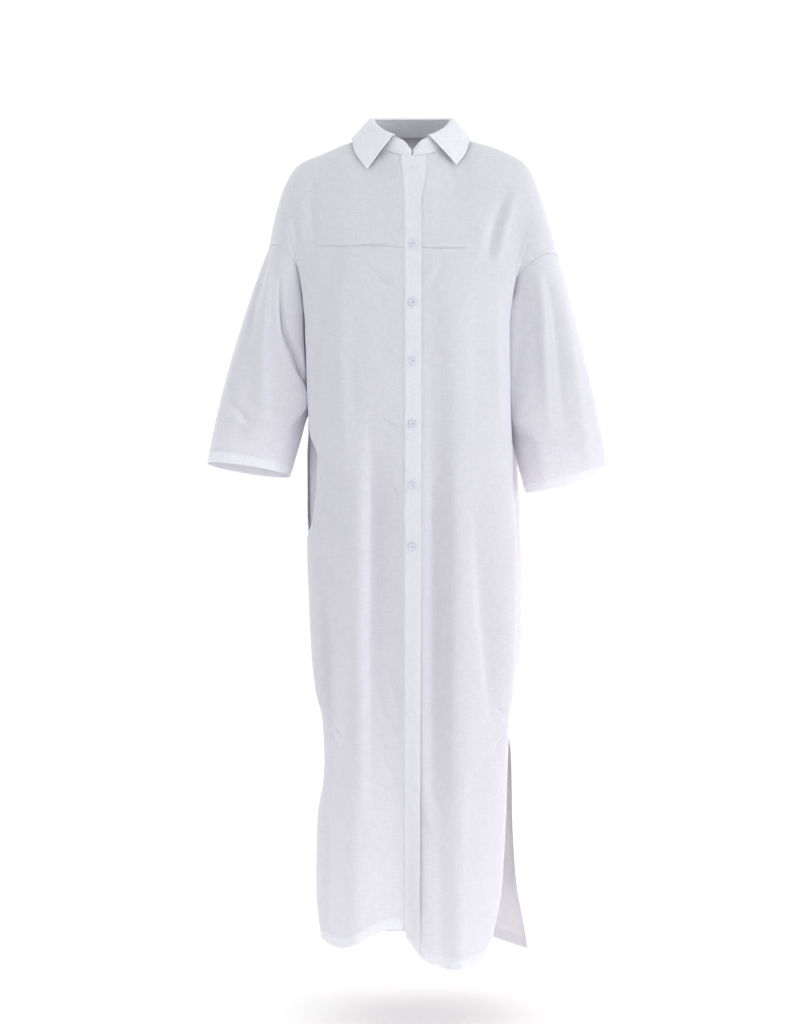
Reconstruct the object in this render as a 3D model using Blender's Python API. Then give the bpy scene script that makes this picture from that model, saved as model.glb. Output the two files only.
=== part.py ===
"""Button-front maxi shirt dress in white cotton, holding the hollow form that it has when worn.

Every cut piece is a closed wall around a surface worked out from the tables below. Metres, +Z up.
The origin is the middle of the base of the neck, level with the points where the shoulder line
meets the neck. The front faces -Y, and the wearer's left is +X. Side -1 is the wearer's right.
"""

import math

import bpy
import numpy as np

RIGHT, LEFT = -1, 1
FRONT, BACK = "front", "back"

CLOTH = 0.0012
HEM_EXTRA = 0.0008
HEM_TURN = 0.020
SEAM_GAP = 0.0003

NECK_HALF_WIDTH = 0.068
NECK_FRONT_DEPTH = 0.068
NECK_FRONT_DROP = 0.032
NECK_BACK_DEPTH = 0.066
NECK_BACK_RISE = 0.002
NECK_SHARE = 0.23
NECK_CURVE = 1.3
CHEST_LEVEL = -0.300
EDGE_SHARE = 0.78
ROUNDNESS = 0.62

PLACKET_LIFT = 0.0018
BUTTON_LEVELS = (-0.171, -0.262, -0.353, -0.454, -0.552, -0.651)
BUTTON_RADIUS = 0.0057
BUTTON_THICKNESS = 0.0022
BUTTON_SEAT = 0.0005
BUTTON_SIDES = 16
# A button's outline from the middle of its back to the middle of its face, in shares of its sizes.
BUTTON_PROFILE = {
    "radius": (0.86, 1.0, 1.0, 0.90, 0.72, 0.62),
    "rise": (0.0, 0.30, 0.75, 1.0, 0.92, 0.70),
}

STAND_HEIGHT = 0.026
STAND_LEAN = 0.10
STAND_SEAT = 0.0009
LEAF_THICKNESS = 0.0013

POCKET_TOP, POCKET_BOTTOM = -0.470, -0.643
POCKET_DROP = 0.070

# Columns across a panel, from its centre to its side, and rows down it. Panels that meet at a seam
# share them, so the seam's two edges run side by side.
SHARES = np.array([0.0, 0.08, 0.16, 0.23, 0.32, 0.42, 0.52, 0.61, 0.70, 0.78, 0.85, 0.92, 1.0])
SLIT_LEVEL = -0.950
SLIT_ROW = 1.62
HEM_ROW = 1.979
STITCH_ROW = HEM_ROW - 0.002
STEP = 1e-4
UPPER_ROWS = np.linspace(0, 1, 12)
SIDE_LEVELS = np.array([-0.35, -0.40, -0.44, -0.465, -0.485, -0.505, -0.53, -0.56, -0.59,
                        -0.615, -0.635, -0.66, -0.71, -0.77, -0.83, -0.89, -0.95])
SIDE_ROWS = 1 + (SLIT_ROW - 1) * (SIDE_LEVELS - CHEST_LEVEL) / (SLIT_LEVEL - CHEST_LEVEL)
ROWS = np.concatenate([UPPER_ROWS, SIDE_ROWS, np.linspace(SLIT_ROW, STITCH_ROW, 8)[1:], [HEM_ROW, 2.0]])

# Where the shoulder line passes, from the neck over the shoulder and down the arm to the sleeve seam.
SHOULDER = {
    "share": (0.23, 0.34, 0.48, 0.60, 0.72, 0.86, 1.00),
    "right_out": (0.068, 0.0965, 0.1435, 0.184, 0.207, 0.222, 0.2317),
    "right_up": (0.000, -0.008, -0.027, -0.046, -0.083, -0.133, -0.1796),
    "left_out": (0.068, 0.0995, 0.150, 0.184, 0.204, 0.2215, 0.2375),
    "left_up": (0.000, -0.008, -0.0245, -0.046, -0.085, -0.138, -0.1958),
}

# How far each column of cloth runs on before it turns: leaving the shoulder line, and reaching the chest.
REACH_FRONT = {
    "share": (0.00, 0.12, 0.23, 0.34, 0.60, 0.70, 0.80, 0.90, 1.00),
    "leave_in": (0.000, 0.000, 0.000, 0.000, 0.000, 0.001, 0.003, 0.006, 0.010),
    "leave_out": (0.020, 0.034, 0.062, 0.070, 0.075, 0.080, 0.088, 0.099, 0.110),
    "leave_up": (-0.050, -0.040, -0.010, 0.000, 0.000, 0.004, 0.010, 0.020, 0.030),
    "reach_side": (0.000, 0.000, 0.000, 0.000, 0.002, 0.003, 0.005, 0.008, 0.012),
    "reach_out": (0.000, 0.000, 0.000, 0.000, 0.005, 0.015, 0.038, 0.066, 0.085),
    "reach_up": (0.110, 0.120, 0.130, 0.130, 0.130, 0.127, 0.120, 0.108, 0.095),
}
REACH_BACK = {
    "share": (0.00, 0.12, 0.23, 0.34, 0.60, 0.70, 0.80, 0.90, 1.00),
    "leave_in": (0.000, 0.000, 0.000, 0.000, 0.000, 0.001, 0.003, 0.006, 0.010),
    "leave_out": (0.034, 0.040, 0.058, 0.070, 0.080, 0.087, 0.096, 0.108, 0.120),
    "leave_up": (-0.030, -0.020, -0.006, 0.000, 0.000, 0.004, 0.010, 0.020, 0.030),
    "reach_side": (0.000, 0.000, 0.000, 0.000, 0.002, 0.003, 0.005, 0.008, 0.012),
    "reach_out": (0.006, 0.008, 0.010, 0.012, 0.014, 0.024, 0.048, 0.078, 0.100),
    "reach_up": (0.140, 0.140, 0.140, 0.140, 0.140, 0.137, 0.130, 0.114, 0.095),
}

# Half widths of the body at each level: the front's rounded edge, the front's side seam, the back's
# side seam and the back's rounded edge. Under the arms the side is pushed in beside the sleeve.
RIGHT_SIDE = {
    "level": (-0.30, -0.36, -0.43, -0.475, -0.515, -0.56, -0.61, -0.65, -0.72,
              -0.82, -0.90, -0.95, -1.02, -1.13, -1.23, -1.31, -1.37),
    "front_edge": (0.172, 0.1705, 0.168, 0.1655, 0.155, 0.1555, 0.160, 0.170, 0.1685,
                   0.1645, 0.157, 0.1485, 0.1455, 0.156, 0.1575, 0.152, 0.149),
    "front_seam": (0.1525, 0.1535, 0.159, 0.163, 0.153, 0.1535, 0.158, 0.1695, 0.167,
                   0.163, 0.1555, 0.1475, 0.144, 0.153, 0.153, 0.146, 0.142),
    "back_seam": (0.1525, 0.1535, 0.159, 0.1675, 0.1705, 0.1705, 0.1705, 0.1680, 0.165,
                  0.161, 0.1545, 0.1475, 0.142, 0.140, 0.139, 0.138, 0.138),
    "back_edge": (0.162, 0.163, 0.167, 0.1715, 0.1715, 0.1715, 0.1705, 0.169, 0.1655,
                  0.1615, 0.155, 0.148, 0.1425, 0.141, 0.140, 0.139, 0.139),
}
LEFT_SIDE = {
    "level": (-0.30, -0.36, -0.43, -0.475, -0.515, -0.56, -0.61, -0.65, -0.72,
              -0.82, -0.90, -0.95, -1.02, -1.13, -1.23, -1.31, -1.37),
    "front_edge": (0.157, 0.1575, 0.159, 0.1605, 0.163, 0.1635, 0.168, 0.1695, 0.172,
                   0.170, 0.166, 0.1595, 0.157, 0.1535, 0.148, 0.1345, 0.131),
    "front_seam": (0.1375, 0.1385, 0.1465, 0.153, 0.158, 0.160, 0.1645, 0.166, 0.169,
                   0.168, 0.164, 0.158, 0.155, 0.151, 0.145, 0.131, 0.127),
    "back_seam": (0.1375, 0.1385, 0.1465, 0.153, 0.158, 0.160, 0.1645, 0.166, 0.169,
                  0.168, 0.164, 0.158, 0.165, 0.168, 0.175, 0.189, 0.199),
    "back_edge": (0.147, 0.148, 0.158, 0.168, 0.1745, 0.176, 0.1785, 0.181, 0.184,
                  0.183, 0.175, 0.161, 0.1690, 0.1715, 0.1785, 0.191, 0.200),
}
# Depths from the middle plane, forwards at the centre front and backwards at the centre back, and how far
# forward each side seam lies.
DEPTHS = {
    "level": (-0.30, -0.43, -0.475, -0.52, -0.60, -0.65, -0.80, -0.95, -1.13, -1.37),
    "front": (0.128, 0.125, 0.124, 0.122, 0.120, 0.119, 0.115, 0.112, 0.108, 0.105),
    "back": (0.112, 0.108, 0.108, 0.108, 0.110, 0.111, 0.113, 0.115, 0.117, 0.120),
    "right_front_seam": (-0.008, -0.006, 0.010, 0.036, 0.034, 0.004, 0.000, 0.002, 0.014, 0.020),
    "right_back_seam": (-0.008, -0.006, -0.001, 0.006, 0.006, 0.003, -0.001, -0.002, -0.012, -0.016),
    "left_front_seam": (-0.008, -0.006, -0.003, 0.000, 0.000, 0.000, 0.000, 0.002, 0.014, 0.022),
    "left_back_seam": (-0.008, -0.006, -0.003, 0.000, 0.000, 0.000, 0.000, -0.002, -0.008, -0.010),
}
FRONT_EDGE_DEPTH = 0.050
BACK_EDGE_DEPTH = 0.054

# The largest folds. Each is a soft ridge, or a trough where its heights are negative, that runs down
# the cloth at a distance to the wearer's left, with its half width and its height at four levels.
FOLD_LEVELS = (-0.30, -0.60, -0.95, -1.37)
FOLDS = {
    FRONT: (
        ("right bust fall", -0.092, 0.038, (0.006, 0.007, 0.013, 0.024)),
        ("centre trough", -0.014, 0.034, (-0.001, -0.004, -0.009, -0.018)),
        ("left bust fall", 0.088, 0.040, (0.006, 0.008, 0.015, 0.026)),
    ),
    BACK: (
        ("right blade fall", -0.094, 0.036, (0.005, 0.006, 0.011, 0.018)),
        ("centre back trough", 0.002, 0.034, (-0.002, -0.004, -0.008, -0.014)),
        ("left blade fall", 0.098, 0.038, (0.005, 0.007, 0.013, 0.021)),
    ),
}

# Levels of the finished hems across each panel, from its centre to its side.
HEMS = {
    (FRONT, RIGHT): ((0.0, 0.10, 0.22, 0.34, 0.44, 0.56, 0.68, 1.0),
                     (-1.289, -1.284, -1.2925, -1.307, -1.3145, -1.3165, -1.311, -1.306)),
    (FRONT, LEFT): ((0.0, 0.06, 0.12, 0.19, 0.26, 0.37, 0.50, 0.66, 1.0),
                    (-1.310, -1.3325, -1.3405, -1.3450, -1.346, -1.3455, -1.340, -1.324, -1.300)),
    (BACK, RIGHT): ((0.0, 0.5, 1.0), (-1.350, -1.349, -1.346)),
    (BACK, LEFT): ((0.0, 0.3, 0.45, 0.6, 0.75, 1.0), (-1.350, -1.351, -1.358, -1.3625, -1.360, -1.352)),
}
# Levels of the bands' own hems, at the wearer's right edge and at the left edge.
TOP_BAND_HEM = (-1.287, -1.303)
UNDER_BAND_HEM = (-1.300, -1.328)

# Edges of the two bands at each level, to the wearer's left of the centre front.
BANDS = {
    "level": (-0.03, -0.08, -0.18, -0.42, -1.37),
    "top_left_edge": (0.0035, 0.0085, 0.0141, 0.0141, 0.0141),
    "top_right_edge": (-0.0212, -0.0157, -0.0141, -0.0141, -0.0141),
    "under_left_edge": (0.0237, 0.0228, 0.0200, 0.0195, 0.0195),
    "under_right_edge": (-0.0045, -0.0050, -0.0085, -0.0090, -0.0090),
}

# The pocket bag, column by column: how far out on the front it hangs, how far inside the cloth's face the
# first layer lies, and how much farther in the second layer is. Its foot drops below the mouth by a share
# of POCKET_DROP that grows with the distance from the mouth, and the layers come together at top and foot.
POCKET = {
    "run": (0, 1, 2, 3, 4, 5, 6, 7, 8, 9, 10, 11, 12, 13, 14, 15, 16, 17),
    "share": (1.0, 0.92, 0.85, 0.78, 0.70, 0.61, 0.52, 0.42, 0.405, 0.42, 0.52, 0.61, 0.70, 0.78, 0.85, 0.92,
              1.0, 1.0),
    "inward": (0.0036, 0.0036, 0.0036, 0.0037, 0.0038, 0.0038, 0.0038, 0.0038, 0.0038, 0.0038, 0.0038, 0.0038,
               0.0038, 0.0037, 0.0036, 0.0036, 0.0036, 0.0036),
    "apart": (0.0, 0.0, 0.0, 0.0, 0.0, 0.0, 0.0, 0.0007, 0.0050, 0.0093, 0.0116, 0.0126, 0.0130, 0.0131, 0.0130,
              0.0126, 0.0114, 0.0114),
}
POCKET_FOOT = {"deep": (0, 0.2, 0.5, 1), "drop": (0, 0.55, 0.95, 1.0)}
POCKET_CLOSING = {"down": (0, 0.12, 0.5, 0.88, 1), "open": (0.14, 0.8, 1, 0.8, 0.14)}
POCKET_ROWS = np.array([0, 0.06, 0.16, 0.30, 0.45, 0.60, 0.75, 0.87, 0.95, 1.0])
POCKET_BACK_SHARE = 0.985
POCKET_CLOTH = 0.0010

# Cuffs: the middle of the opening, the half width pointing to the body, the half depth pointing back.
CUFFS = {
    RIGHT: {
        "middle": (-0.2660, -0.013, -0.5380),
        "across": (0.0670, 0.0, -0.0104),
        "back": (0.0, 0.050, -0.0120),
    },
    LEFT: {
        "middle": (0.2545, -0.013, -0.5605),
        "across": (-0.0680, 0.0, -0.0147),
        "back": (0.0, 0.050, -0.0035),
    },
}
# How far the sleeve runs on as it leaves the armhole and reaches the cuff, outside the arm and inside it.
SLEEVE_REACH = {
    "outside_leave": (0.041, 0.0, -0.102),
    "outside_reach": (0.020, 0.0, -0.115),
    "left_leave": (0.030, 0.0, -0.102),
    "left_reach": (0.020, 0.0, -0.115),
    "inside_leave": (0.010, 0.0, -0.130),
    "inside_reach": (0.026, 0.0, -0.080),
}
SLEEVE_CLEARANCE = 0.0018
# Above the chest the sleeve keeps this much more room, reached over this height.
SLEEVE_UPPER_ROOM = 0.006
SLEEVE_UPPER_RISE = 0.08
SLEEVE_SOFTNESS = 0.002
SLEEVE_LENGTH = 0.34

# The collar leaf, from the end of its fold at the front round to the centre back. Turn is the angle
# round the neck from the centre front. The fold lies on the stand, and the outer edge on the shoulders.
LEAF = {
    "share": (0.0, 0.18, 0.36, 0.55, 0.75, 1.0),
    "right_edge_x": (-0.0715, -0.0905, -0.0965, -0.0935, -0.0600, 0.0),
    "right_edge_y": (-0.066, -0.046, -0.020, 0.028, 0.080, 0.0985),
    "right_edge_z": (-0.053, -0.026, -0.0045, -0.0035, -0.012, -0.014),
    "left_edge_x": (0.0700, 0.0850, 0.0925, 0.0915, 0.0600, 0.0),
    "left_edge_y": (-0.066, -0.048, -0.021, 0.028, 0.080, 0.0985),
    "left_edge_z": (-0.0460, -0.0260, -0.0045, -0.0035, -0.012, -0.014),
}
LEAF_START_TURN = {RIGHT: 27.0, LEFT: 24.0}
# The fold's roll: its radius, how flat it is, how far round it goes, its share of the leaf and its lift,
# and how far the leaf below it bows out.
ROLL_RADIUS = 0.0034
ROLL_FLATNESS = 0.62
ROLL_ANGLE = 0.75 * math.pi
ROLL_SHARE = 0.3
ROLL_LIFT = 0.0004
LEAF_BOW = 0.0012


def smooth(xs, ys, x):
    """Value at x of a curve through the rows (xs, ys) that never swings past a row.

    Each stretch is a cubic whose end slopes are the harmonic mean of the slopes on both sides.
    """
    xs = np.asarray(xs, dtype=float)
    ys = np.asarray(ys, dtype=float)
    if xs[0] > xs[-1]:
        xs, ys = xs[::-1], ys[::-1]
    x = np.clip(np.asarray(x, dtype=float), xs[0], xs[-1])
    step = np.diff(xs)
    rise = np.diff(ys) / step
    slope = np.zeros(len(xs))
    slope[0], slope[-1] = rise[0], rise[-1]
    turn = rise[:-1] * rise[1:] > 0
    both = np.where(turn, rise[:-1] + rise[1:], 1.0)
    slope[1:-1] = np.where(turn, 2 * rise[:-1] * rise[1:] / both, 0.0)
    row = np.clip(np.searchsorted(xs, x, side="right") - 1, 0, len(xs) - 2)
    t = (x - xs[row]) / step[row]
    return (ys[row] * (1 + 2 * t) * (1 - t) ** 2 + ys[row + 1] * t * t * (3 - 2 * t)
            + step[row] * (slope[row] * t * (1 - t) ** 2 - slope[row + 1] * t * t * (1 - t)))


def read(table, key, at, by="share"):
    return smooth(table[by], table[key], at)


def bezier(a, b, c, d, t):
    """Point at t on the cubic that starts at a, heads for b, arrives from c and ends at d."""
    t = np.asarray(t)[..., None]
    return a * (1 - t) ** 3 + 3 * b * t * (1 - t) ** 2 + 3 * c * t * t * (1 - t) + d * t ** 3


def stack(x, y, z):
    return np.stack(np.broadcast_arrays(x, y, z), axis=-1).astype(float)


def fold_height(panel, x, level):
    """Sum of the panel's ridges and troughs at a place: each is a bell across and eases in downwards."""
    total = np.zeros(np.broadcast(x, level).shape)
    for _, across, half_width, heights in FOLDS[panel]:
        total = total + smooth(FOLD_LEVELS, heights, level) * np.exp(-((x - across) / half_width) ** 2)
    return total


def section(panel, side, u, level):
    """Point of the body at a level: u is 0 at the centre, EDGE_SHARE at the rounded edge, 1 at the side seam.

    The first stretch is a cubic from the centre to the edge. The second is a cubic that turns in
    from the edge to the seam and ends heading straight back, so front and back meet smoothly.
    """
    table = RIGHT_SIDE if side == RIGHT else LEFT_SIDE
    name = "right" if side == RIGHT else "left"
    edge = read(table, panel + "_edge", level, "level")
    seam = read(table, panel + "_seam", level, "level")
    depth = read(DEPTHS, panel, level, "level")
    seam_depth = read(DEPTHS, name + "_" + panel + "_seam", level, "level")
    if panel == BACK:
        seam_depth = -seam_depth
    edge_depth = FRONT_EDGE_DEPTH if panel == FRONT else BACK_EDGE_DEPTH
    q = np.clip(u / EDGE_SHARE, 0, 1)
    r = np.clip((u - EDGE_SHARE) / (1 - EDGE_SHARE), 0, 1)
    round_x = 3 * ROUNDNESS * edge * q * (1 - q) ** 2 + 3 * edge * q * q * (1 - q) + edge * q ** 3
    shoulder = edge_depth + ROUNDNESS * (depth - edge_depth)
    round_y = (depth * (1 - q) ** 3 + 3 * depth * q * (1 - q) ** 2
               + 3 * shoulder * q * q * (1 - q) + edge_depth * q ** 3)
    turn_x = edge + (seam - edge) * r * r * (3 - 2 * r)
    turn_y = edge_depth + (seam_depth - edge_depth) * r
    x = np.where(u <= EDGE_SHARE, round_x, turn_x) * side
    y = np.where(u <= EDGE_SHARE, round_y, turn_y)
    y = y + fold_height(panel, x, level) * np.clip((y - edge_depth) / (depth - edge_depth), 0, 1) ** 0.5
    return stack(x, y * (-1 if panel == FRONT else 1), level)


def top_edge(panel, side, u):
    """Top of a column: round the neck for small u, then along the shoulder line to the sleeve seam."""
    name = "right" if side == RIGHT else "left"
    turn = np.clip(u / NECK_SHARE, 0, 1) * math.pi / 2
    if panel == FRONT:
        neck_y = -NECK_FRONT_DEPTH * np.cos(turn)
        neck_z = -NECK_FRONT_DROP * np.cos(turn) ** NECK_CURVE
    else:
        neck_y = NECK_BACK_DEPTH * np.cos(turn)
        neck_z = NECK_BACK_RISE * np.cos(turn)
    x = np.where(u < NECK_SHARE, NECK_HALF_WIDTH * np.sin(turn), read(SHOULDER, name + "_out", u))
    y = np.where(u < NECK_SHARE, neck_y, 0.0)
    z = np.where(u < NECK_SHARE, neck_z, read(SHOULDER, name + "_up", u))
    return stack(x * side, y, z)


def body(panel, side, u, v, hem=None):
    """Point of a front or back: v is 0 at the top edge, 1 at the chest level and 2 at the hem.

    Above the chest each column is a cubic from the top edge to the chest section. Below it the
    column follows the sections down to the hem.
    """
    u, v = np.broadcast_arrays(np.asarray(u, dtype=float), np.asarray(v, dtype=float))
    reach = REACH_FRONT if panel == FRONT else REACH_BACK
    out = -1 if panel == FRONT else 1
    start = top_edge(panel, side, u)
    chest = section(panel, side, u, np.full(u.shape, CHEST_LEVEL))
    held = {key: read(reach, key, u) for key in reach if key != "share"}
    leave = stack(-side * held["leave_in"], out * held["leave_out"], held["leave_up"])
    arrive = stack(side * held["reach_side"], out * held["reach_out"], held["reach_up"])
    upper = bezier(start, start + leave, chest + arrive, chest, np.clip(v, 0, 1))
    if hem is None:
        hem = smooth(*HEMS[(panel, side)], u)
    return np.where((v <= 1)[..., None], upper, section(panel, side, u, level_at(v, hem)))


def level_at(v, hem):
    """Level of a row: even steps from the chest to the top of the slits, then even steps to the hem."""
    closed = CHEST_LEVEL + (SLIT_LEVEL - CHEST_LEVEL) * (v - 1) / (SLIT_ROW - 1)
    opened = SLIT_LEVEL + (hem - SLIT_LEVEL) * (v - SLIT_ROW) / (2 - SLIT_ROW)
    return np.where(v <= SLIT_ROW, closed, opened)


def row_at(level):
    """Row of a level between the chest and the top of the slits."""
    return 1 + (SLIT_ROW - 1) * (level - CHEST_LEVEL) / (SLIT_LEVEL - CHEST_LEVEL)


def side_wall(side, y, level):
    """Half width of the body's side at a depth, from the tables of its sections."""
    table = RIGHT_SIDE if side == RIGHT else LEFT_SIDE
    name = "right" if side == RIGHT else "left"
    front_seam = read(DEPTHS, name + "_front_seam", level, "level")
    back_seam = -read(DEPTHS, name + "_back_seam", level, "level")
    front = np.clip((-y - FRONT_EDGE_DEPTH) / (front_seam - FRONT_EDGE_DEPTH), 0, 1)
    back = np.clip((y - BACK_EDGE_DEPTH) / (back_seam - BACK_EDGE_DEPTH), 0, 1)
    seam = read(table, "back_seam", level, "level")
    ahead = read(table, "front_edge", level, "level")
    behind = read(table, "back_edge", level, "level")
    front_x = ahead + (seam - ahead) * front * front * (3 - 2 * front)
    back_x = behind + (seam - behind) * back * back * (3 - 2 * back)
    return np.where(-y > front_seam, front_x, back_x)


def normals(surface, u, v, u_range=(0.0, 1.0), v_range=(0.0, 2.0)):
    """Unit normals from small steps each way, kept inside the surface's own range."""
    along_u = surface(np.minimum(u + STEP, u_range[1]), v) - surface(np.maximum(u - STEP, u_range[0]), v)
    along_v = surface(u, np.minimum(v + STEP, v_range[1])) - surface(u, np.maximum(v - STEP, v_range[0]))
    n = np.cross(along_u, along_v)
    return n / np.linalg.norm(n, axis=-1, keepdims=True)


def material(name, colour, roughness=0.85, metallic=0.0):
    made = bpy.data.materials.new(name)
    made.use_nodes = True
    shader = made.node_tree.nodes["Principled BSDF"]
    shader.inputs["Base Color"].default_value = (*colour, 1.0)
    shader.inputs["Roughness"].default_value = roughness
    shader.inputs["Metallic"].default_value = metallic
    return made


def add_object(name, vertices, faces, made_of):
    mesh = bpy.data.meshes.new(name)
    mesh.from_pydata([tuple(p) for p in vertices], [], faces)
    mesh.validate()
    mesh.materials.append(made_of)
    mesh.shade_smooth()
    mesh.set_sharp_from_angle(angle=math.radians(40))
    made = bpy.data.objects.new(name, mesh)
    bpy.context.scene.collection.objects.link(made)
    return made


def wall(name, points, normal, outer, inner, made_of, ring=False):
    """Closed wall: the grid pushed out along its normals, the grid pushed in, and a rim between them.

    The normals point out of the garment. A ring joins its last column to its first.
    """
    rows, columns = points.shape[:2]
    outside = points + normal * np.broadcast_to(outer, (rows, columns))[..., None]
    inside = points - normal * np.broadcast_to(inner, (rows, columns))[..., None]
    vertices = np.concatenate([outside.reshape(-1, 3), inside.reshape(-1, 3)])
    half = rows * columns
    a, b = outside[0, 1] - outside[0, 0], outside[1, 0] - outside[0, 0]
    forward = float(np.dot(np.cross(a, b), normal[0, 0])) > 0
    faces = []

    def quad(p, q, r, s):
        faces.append((p, q, r, s) if forward else (s, r, q, p))

    spans = columns if ring else columns - 1
    for i in range(rows - 1):
        for j in range(spans):
            k = (j + 1) % columns
            p, q, r, s = i * columns + j, i * columns + k, (i + 1) * columns + k, (i + 1) * columns + j
            quad(p, q, r, s)
            quad(half + s, half + r, half + q, half + p)
    for j in range(spans):
        k = (j + 1) % columns
        last = (rows - 1) * columns
        quad(half + j, half + k, k, j)
        quad(last + j, last + k, half + last + k, half + last + j)
    if not ring:
        for i in range(rows - 1):
            p, s = i * columns, (i + 1) * columns
            quad(p, s, half + s, half + p)
            q, r = p + columns - 1, s + columns - 1
            quad(half + q, half + r, r, q)
    return add_object(name, vertices, faces, made_of)


def hem_extra(v):
    """Extra thickness of the turned-up hem: nothing above the stitch line, all of it on the turn."""
    return HEM_EXTRA * (np.asarray(v) >= HEM_ROW - 1e-9)


def share_at(side, x, v, hem):
    """Column share whose point at row v lies at the distance x from the centre, on the given side."""
    tries = np.linspace(0, 0.4, 81)
    found = []
    for place, row in zip(np.broadcast_to(x, v.shape), v):
        out = body(FRONT, side, tries, np.full(tries.shape, row), hem)[:, 0] * side
        found.append(np.interp(place, out, tries))
    return np.array(found)


def make_front(side, made_of):
    """A front from its band to the side seam, its inner edge following the band's edge."""
    name = "front_right" if side == RIGHT else "front_left"
    level = body(FRONT, side, np.zeros(ROWS.shape), ROWS)[:, 2]
    key = "top_right_edge" if side == RIGHT else "under_left_edge"
    start = share_at(side, np.abs(read(BANDS, key, level, "level")) + SEAM_GAP, ROWS, None)
    pushed = np.clip(1 - SHARES / NECK_SHARE, 0, 1)
    grid_u = SHARES[None, :] + start[:, None] * pushed[None, :]
    grid_v = np.broadcast_to(ROWS[:, None], grid_u.shape)

    def surface(a, b):
        return body(FRONT, side, a, b)

    points = surface(grid_u, grid_v)
    n = outward(normals(surface, grid_u, grid_v), points)
    draw_back(points[0], points[1])
    draw_back(points[:, -1], points[:, -2])
    return wall(name, points, n, hem_extra(grid_v), CLOTH, made_of)


def draw_back(edge, inner):
    """Moves a seam edge towards the next line of the grid by half the seam gap."""
    back = inner - edge
    edge += SEAM_GAP / 2 * back / np.linalg.norm(back, axis=-1, keepdims=True)


def outward(n, points):
    """Normals turned as one to point away from the middle of the body."""
    row = points.shape[0] // 2
    column = points.shape[1] // 2
    away = points[row, column] * np.array([1.0, 1.0, 0.0])
    return n if float(np.dot(n[row, column], away)) > 0 else -n


def make_back(made_of):
    """The back in one piece, from the wearer's right side seam to the left one."""
    grid_u, grid_v = np.meshgrid(np.concatenate([-SHARES[:0:-1], SHARES]), ROWS)

    def surface(a, b):
        right = body(BACK, RIGHT, np.abs(a), b)
        left = body(BACK, LEFT, np.abs(a), b)
        return np.where((a < 0)[..., None], right, left)

    points = surface(grid_u, grid_v)
    n = outward(normals(surface, grid_u, grid_v, u_range=(-1.0, 1.0)), points)
    draw_back(points[0], points[1])
    draw_back(points[:, 0], points[:, 1])
    draw_back(points[:, -1], points[:, -2])
    return wall("back", points, n, hem_extra(grid_v), CLOTH, made_of)


def make_band(name, right_key, left_key, lift, hems, made_of):
    """A front band: a strip of the fronts' surface between two edges, lifted off what lies under it."""
    across = np.array([0, 0.16, 0.5, 1.0])
    hem = np.broadcast_to(hems[0] + (hems[1] - hems[0]) * across, (len(ROWS), len(across)))
    grid_v = np.broadcast_to(ROWS[:, None], hem.shape)
    level = body(FRONT, LEFT, np.zeros(hem.shape), grid_v, hem)[..., 2]
    right_edge = read(BANDS, right_key, level, "level")
    x = right_edge + (read(BANDS, left_key, level, "level") - right_edge) * across
    u = np.zeros(x.shape)
    for j in range(len(across)):
        on_right = share_at(RIGHT, np.maximum(-x[:, j], 0), ROWS, hems[0])
        on_left = share_at(LEFT, np.maximum(x[:, j], 0), ROWS, hems[0])
        u[:, j] = on_left - on_right

    def surface(a, b):
        right = body(FRONT, RIGHT, np.abs(a), b, hem)
        left = body(FRONT, LEFT, np.abs(a), b, hem)
        return np.where((a < 0)[..., None], right, left)

    points = surface(u, grid_v)
    n = outward(normals(surface, u, grid_v, u_range=(-1.0, 1.0)), points)
    draw_back(points[0], points[1])
    raised = lift * np.minimum(across / across[1], 1)[None, :, None]
    extra = hem_extra(grid_v) if lift else 0.0
    return wall(name, points + n * raised, n, extra, CLOTH, made_of)


def armhole(side, turn):
    """Point of the armhole: turn is 0 at the shoulder line, 1 at the underarm by the front, 2 back again."""
    front = body(FRONT, side, np.ones(turn.shape), np.clip(turn, 0, 1))
    back = body(BACK, side, np.ones(turn.shape), np.clip(2 - turn, 0, 1))
    return np.where((turn <= 1)[..., None], front, back)


def sleeve(side, turn, v):
    """Point of a sleeve: v is 0 at the armhole and 1 at the cuff, each line along it a cubic.

    On its inner side the sleeve is kept clear of the body, by a soft choice of the farther out of the
    cubic and the body's own half width with the clearance added.
    """
    turn, v = np.broadcast_arrays(np.mod(np.asarray(turn, dtype=float), 2.0), np.asarray(v, dtype=float))
    inward = (1 - np.cos(turn * math.pi)) / 2
    start = armhole(side, turn)
    cuff = {key: np.array(value) for key, value in CUFFS[side].items()}
    angle = turn * math.pi
    end = cuff["middle"] - cuff["across"] * np.cos(angle)[..., None] - cuff["back"] * np.sin(angle)[..., None]
    mirror = np.array([side, 1.0, 1.0])
    mix = inward[..., None]
    reach = {key: np.array(value) * mirror for key, value in SLEEVE_REACH.items()}
    outer = "outside" if side == RIGHT else "left"
    leave = reach[outer + "_leave"] * (1 - mix) + reach["inside_leave"] * mix
    arrive = reach[outer + "_reach"] * (1 - mix) + reach["inside_reach"] * mix
    points = bezier(start, start + leave, end - arrive, end, v)
    out, y, level = points[..., 0] * side, points[..., 1], points[..., 2]
    above = np.clip((level - CHEST_LEVEL) / SLEEVE_UPPER_RISE, 0, 1)
    nearest = side_wall(side, y, level) + SLEEVE_CLEARANCE + SLEEVE_UPPER_ROOM * above
    apart = 0.5 * (out + nearest + np.sqrt((out - nearest) ** 2 + SLEEVE_SOFTNESS ** 2))
    ease = np.clip(v * 10, 0, 1) * np.clip(2.5 * inward - 0.5, 0, 1)
    points[..., 0] = side * (out + (apart - out) * ease)
    return points


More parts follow.
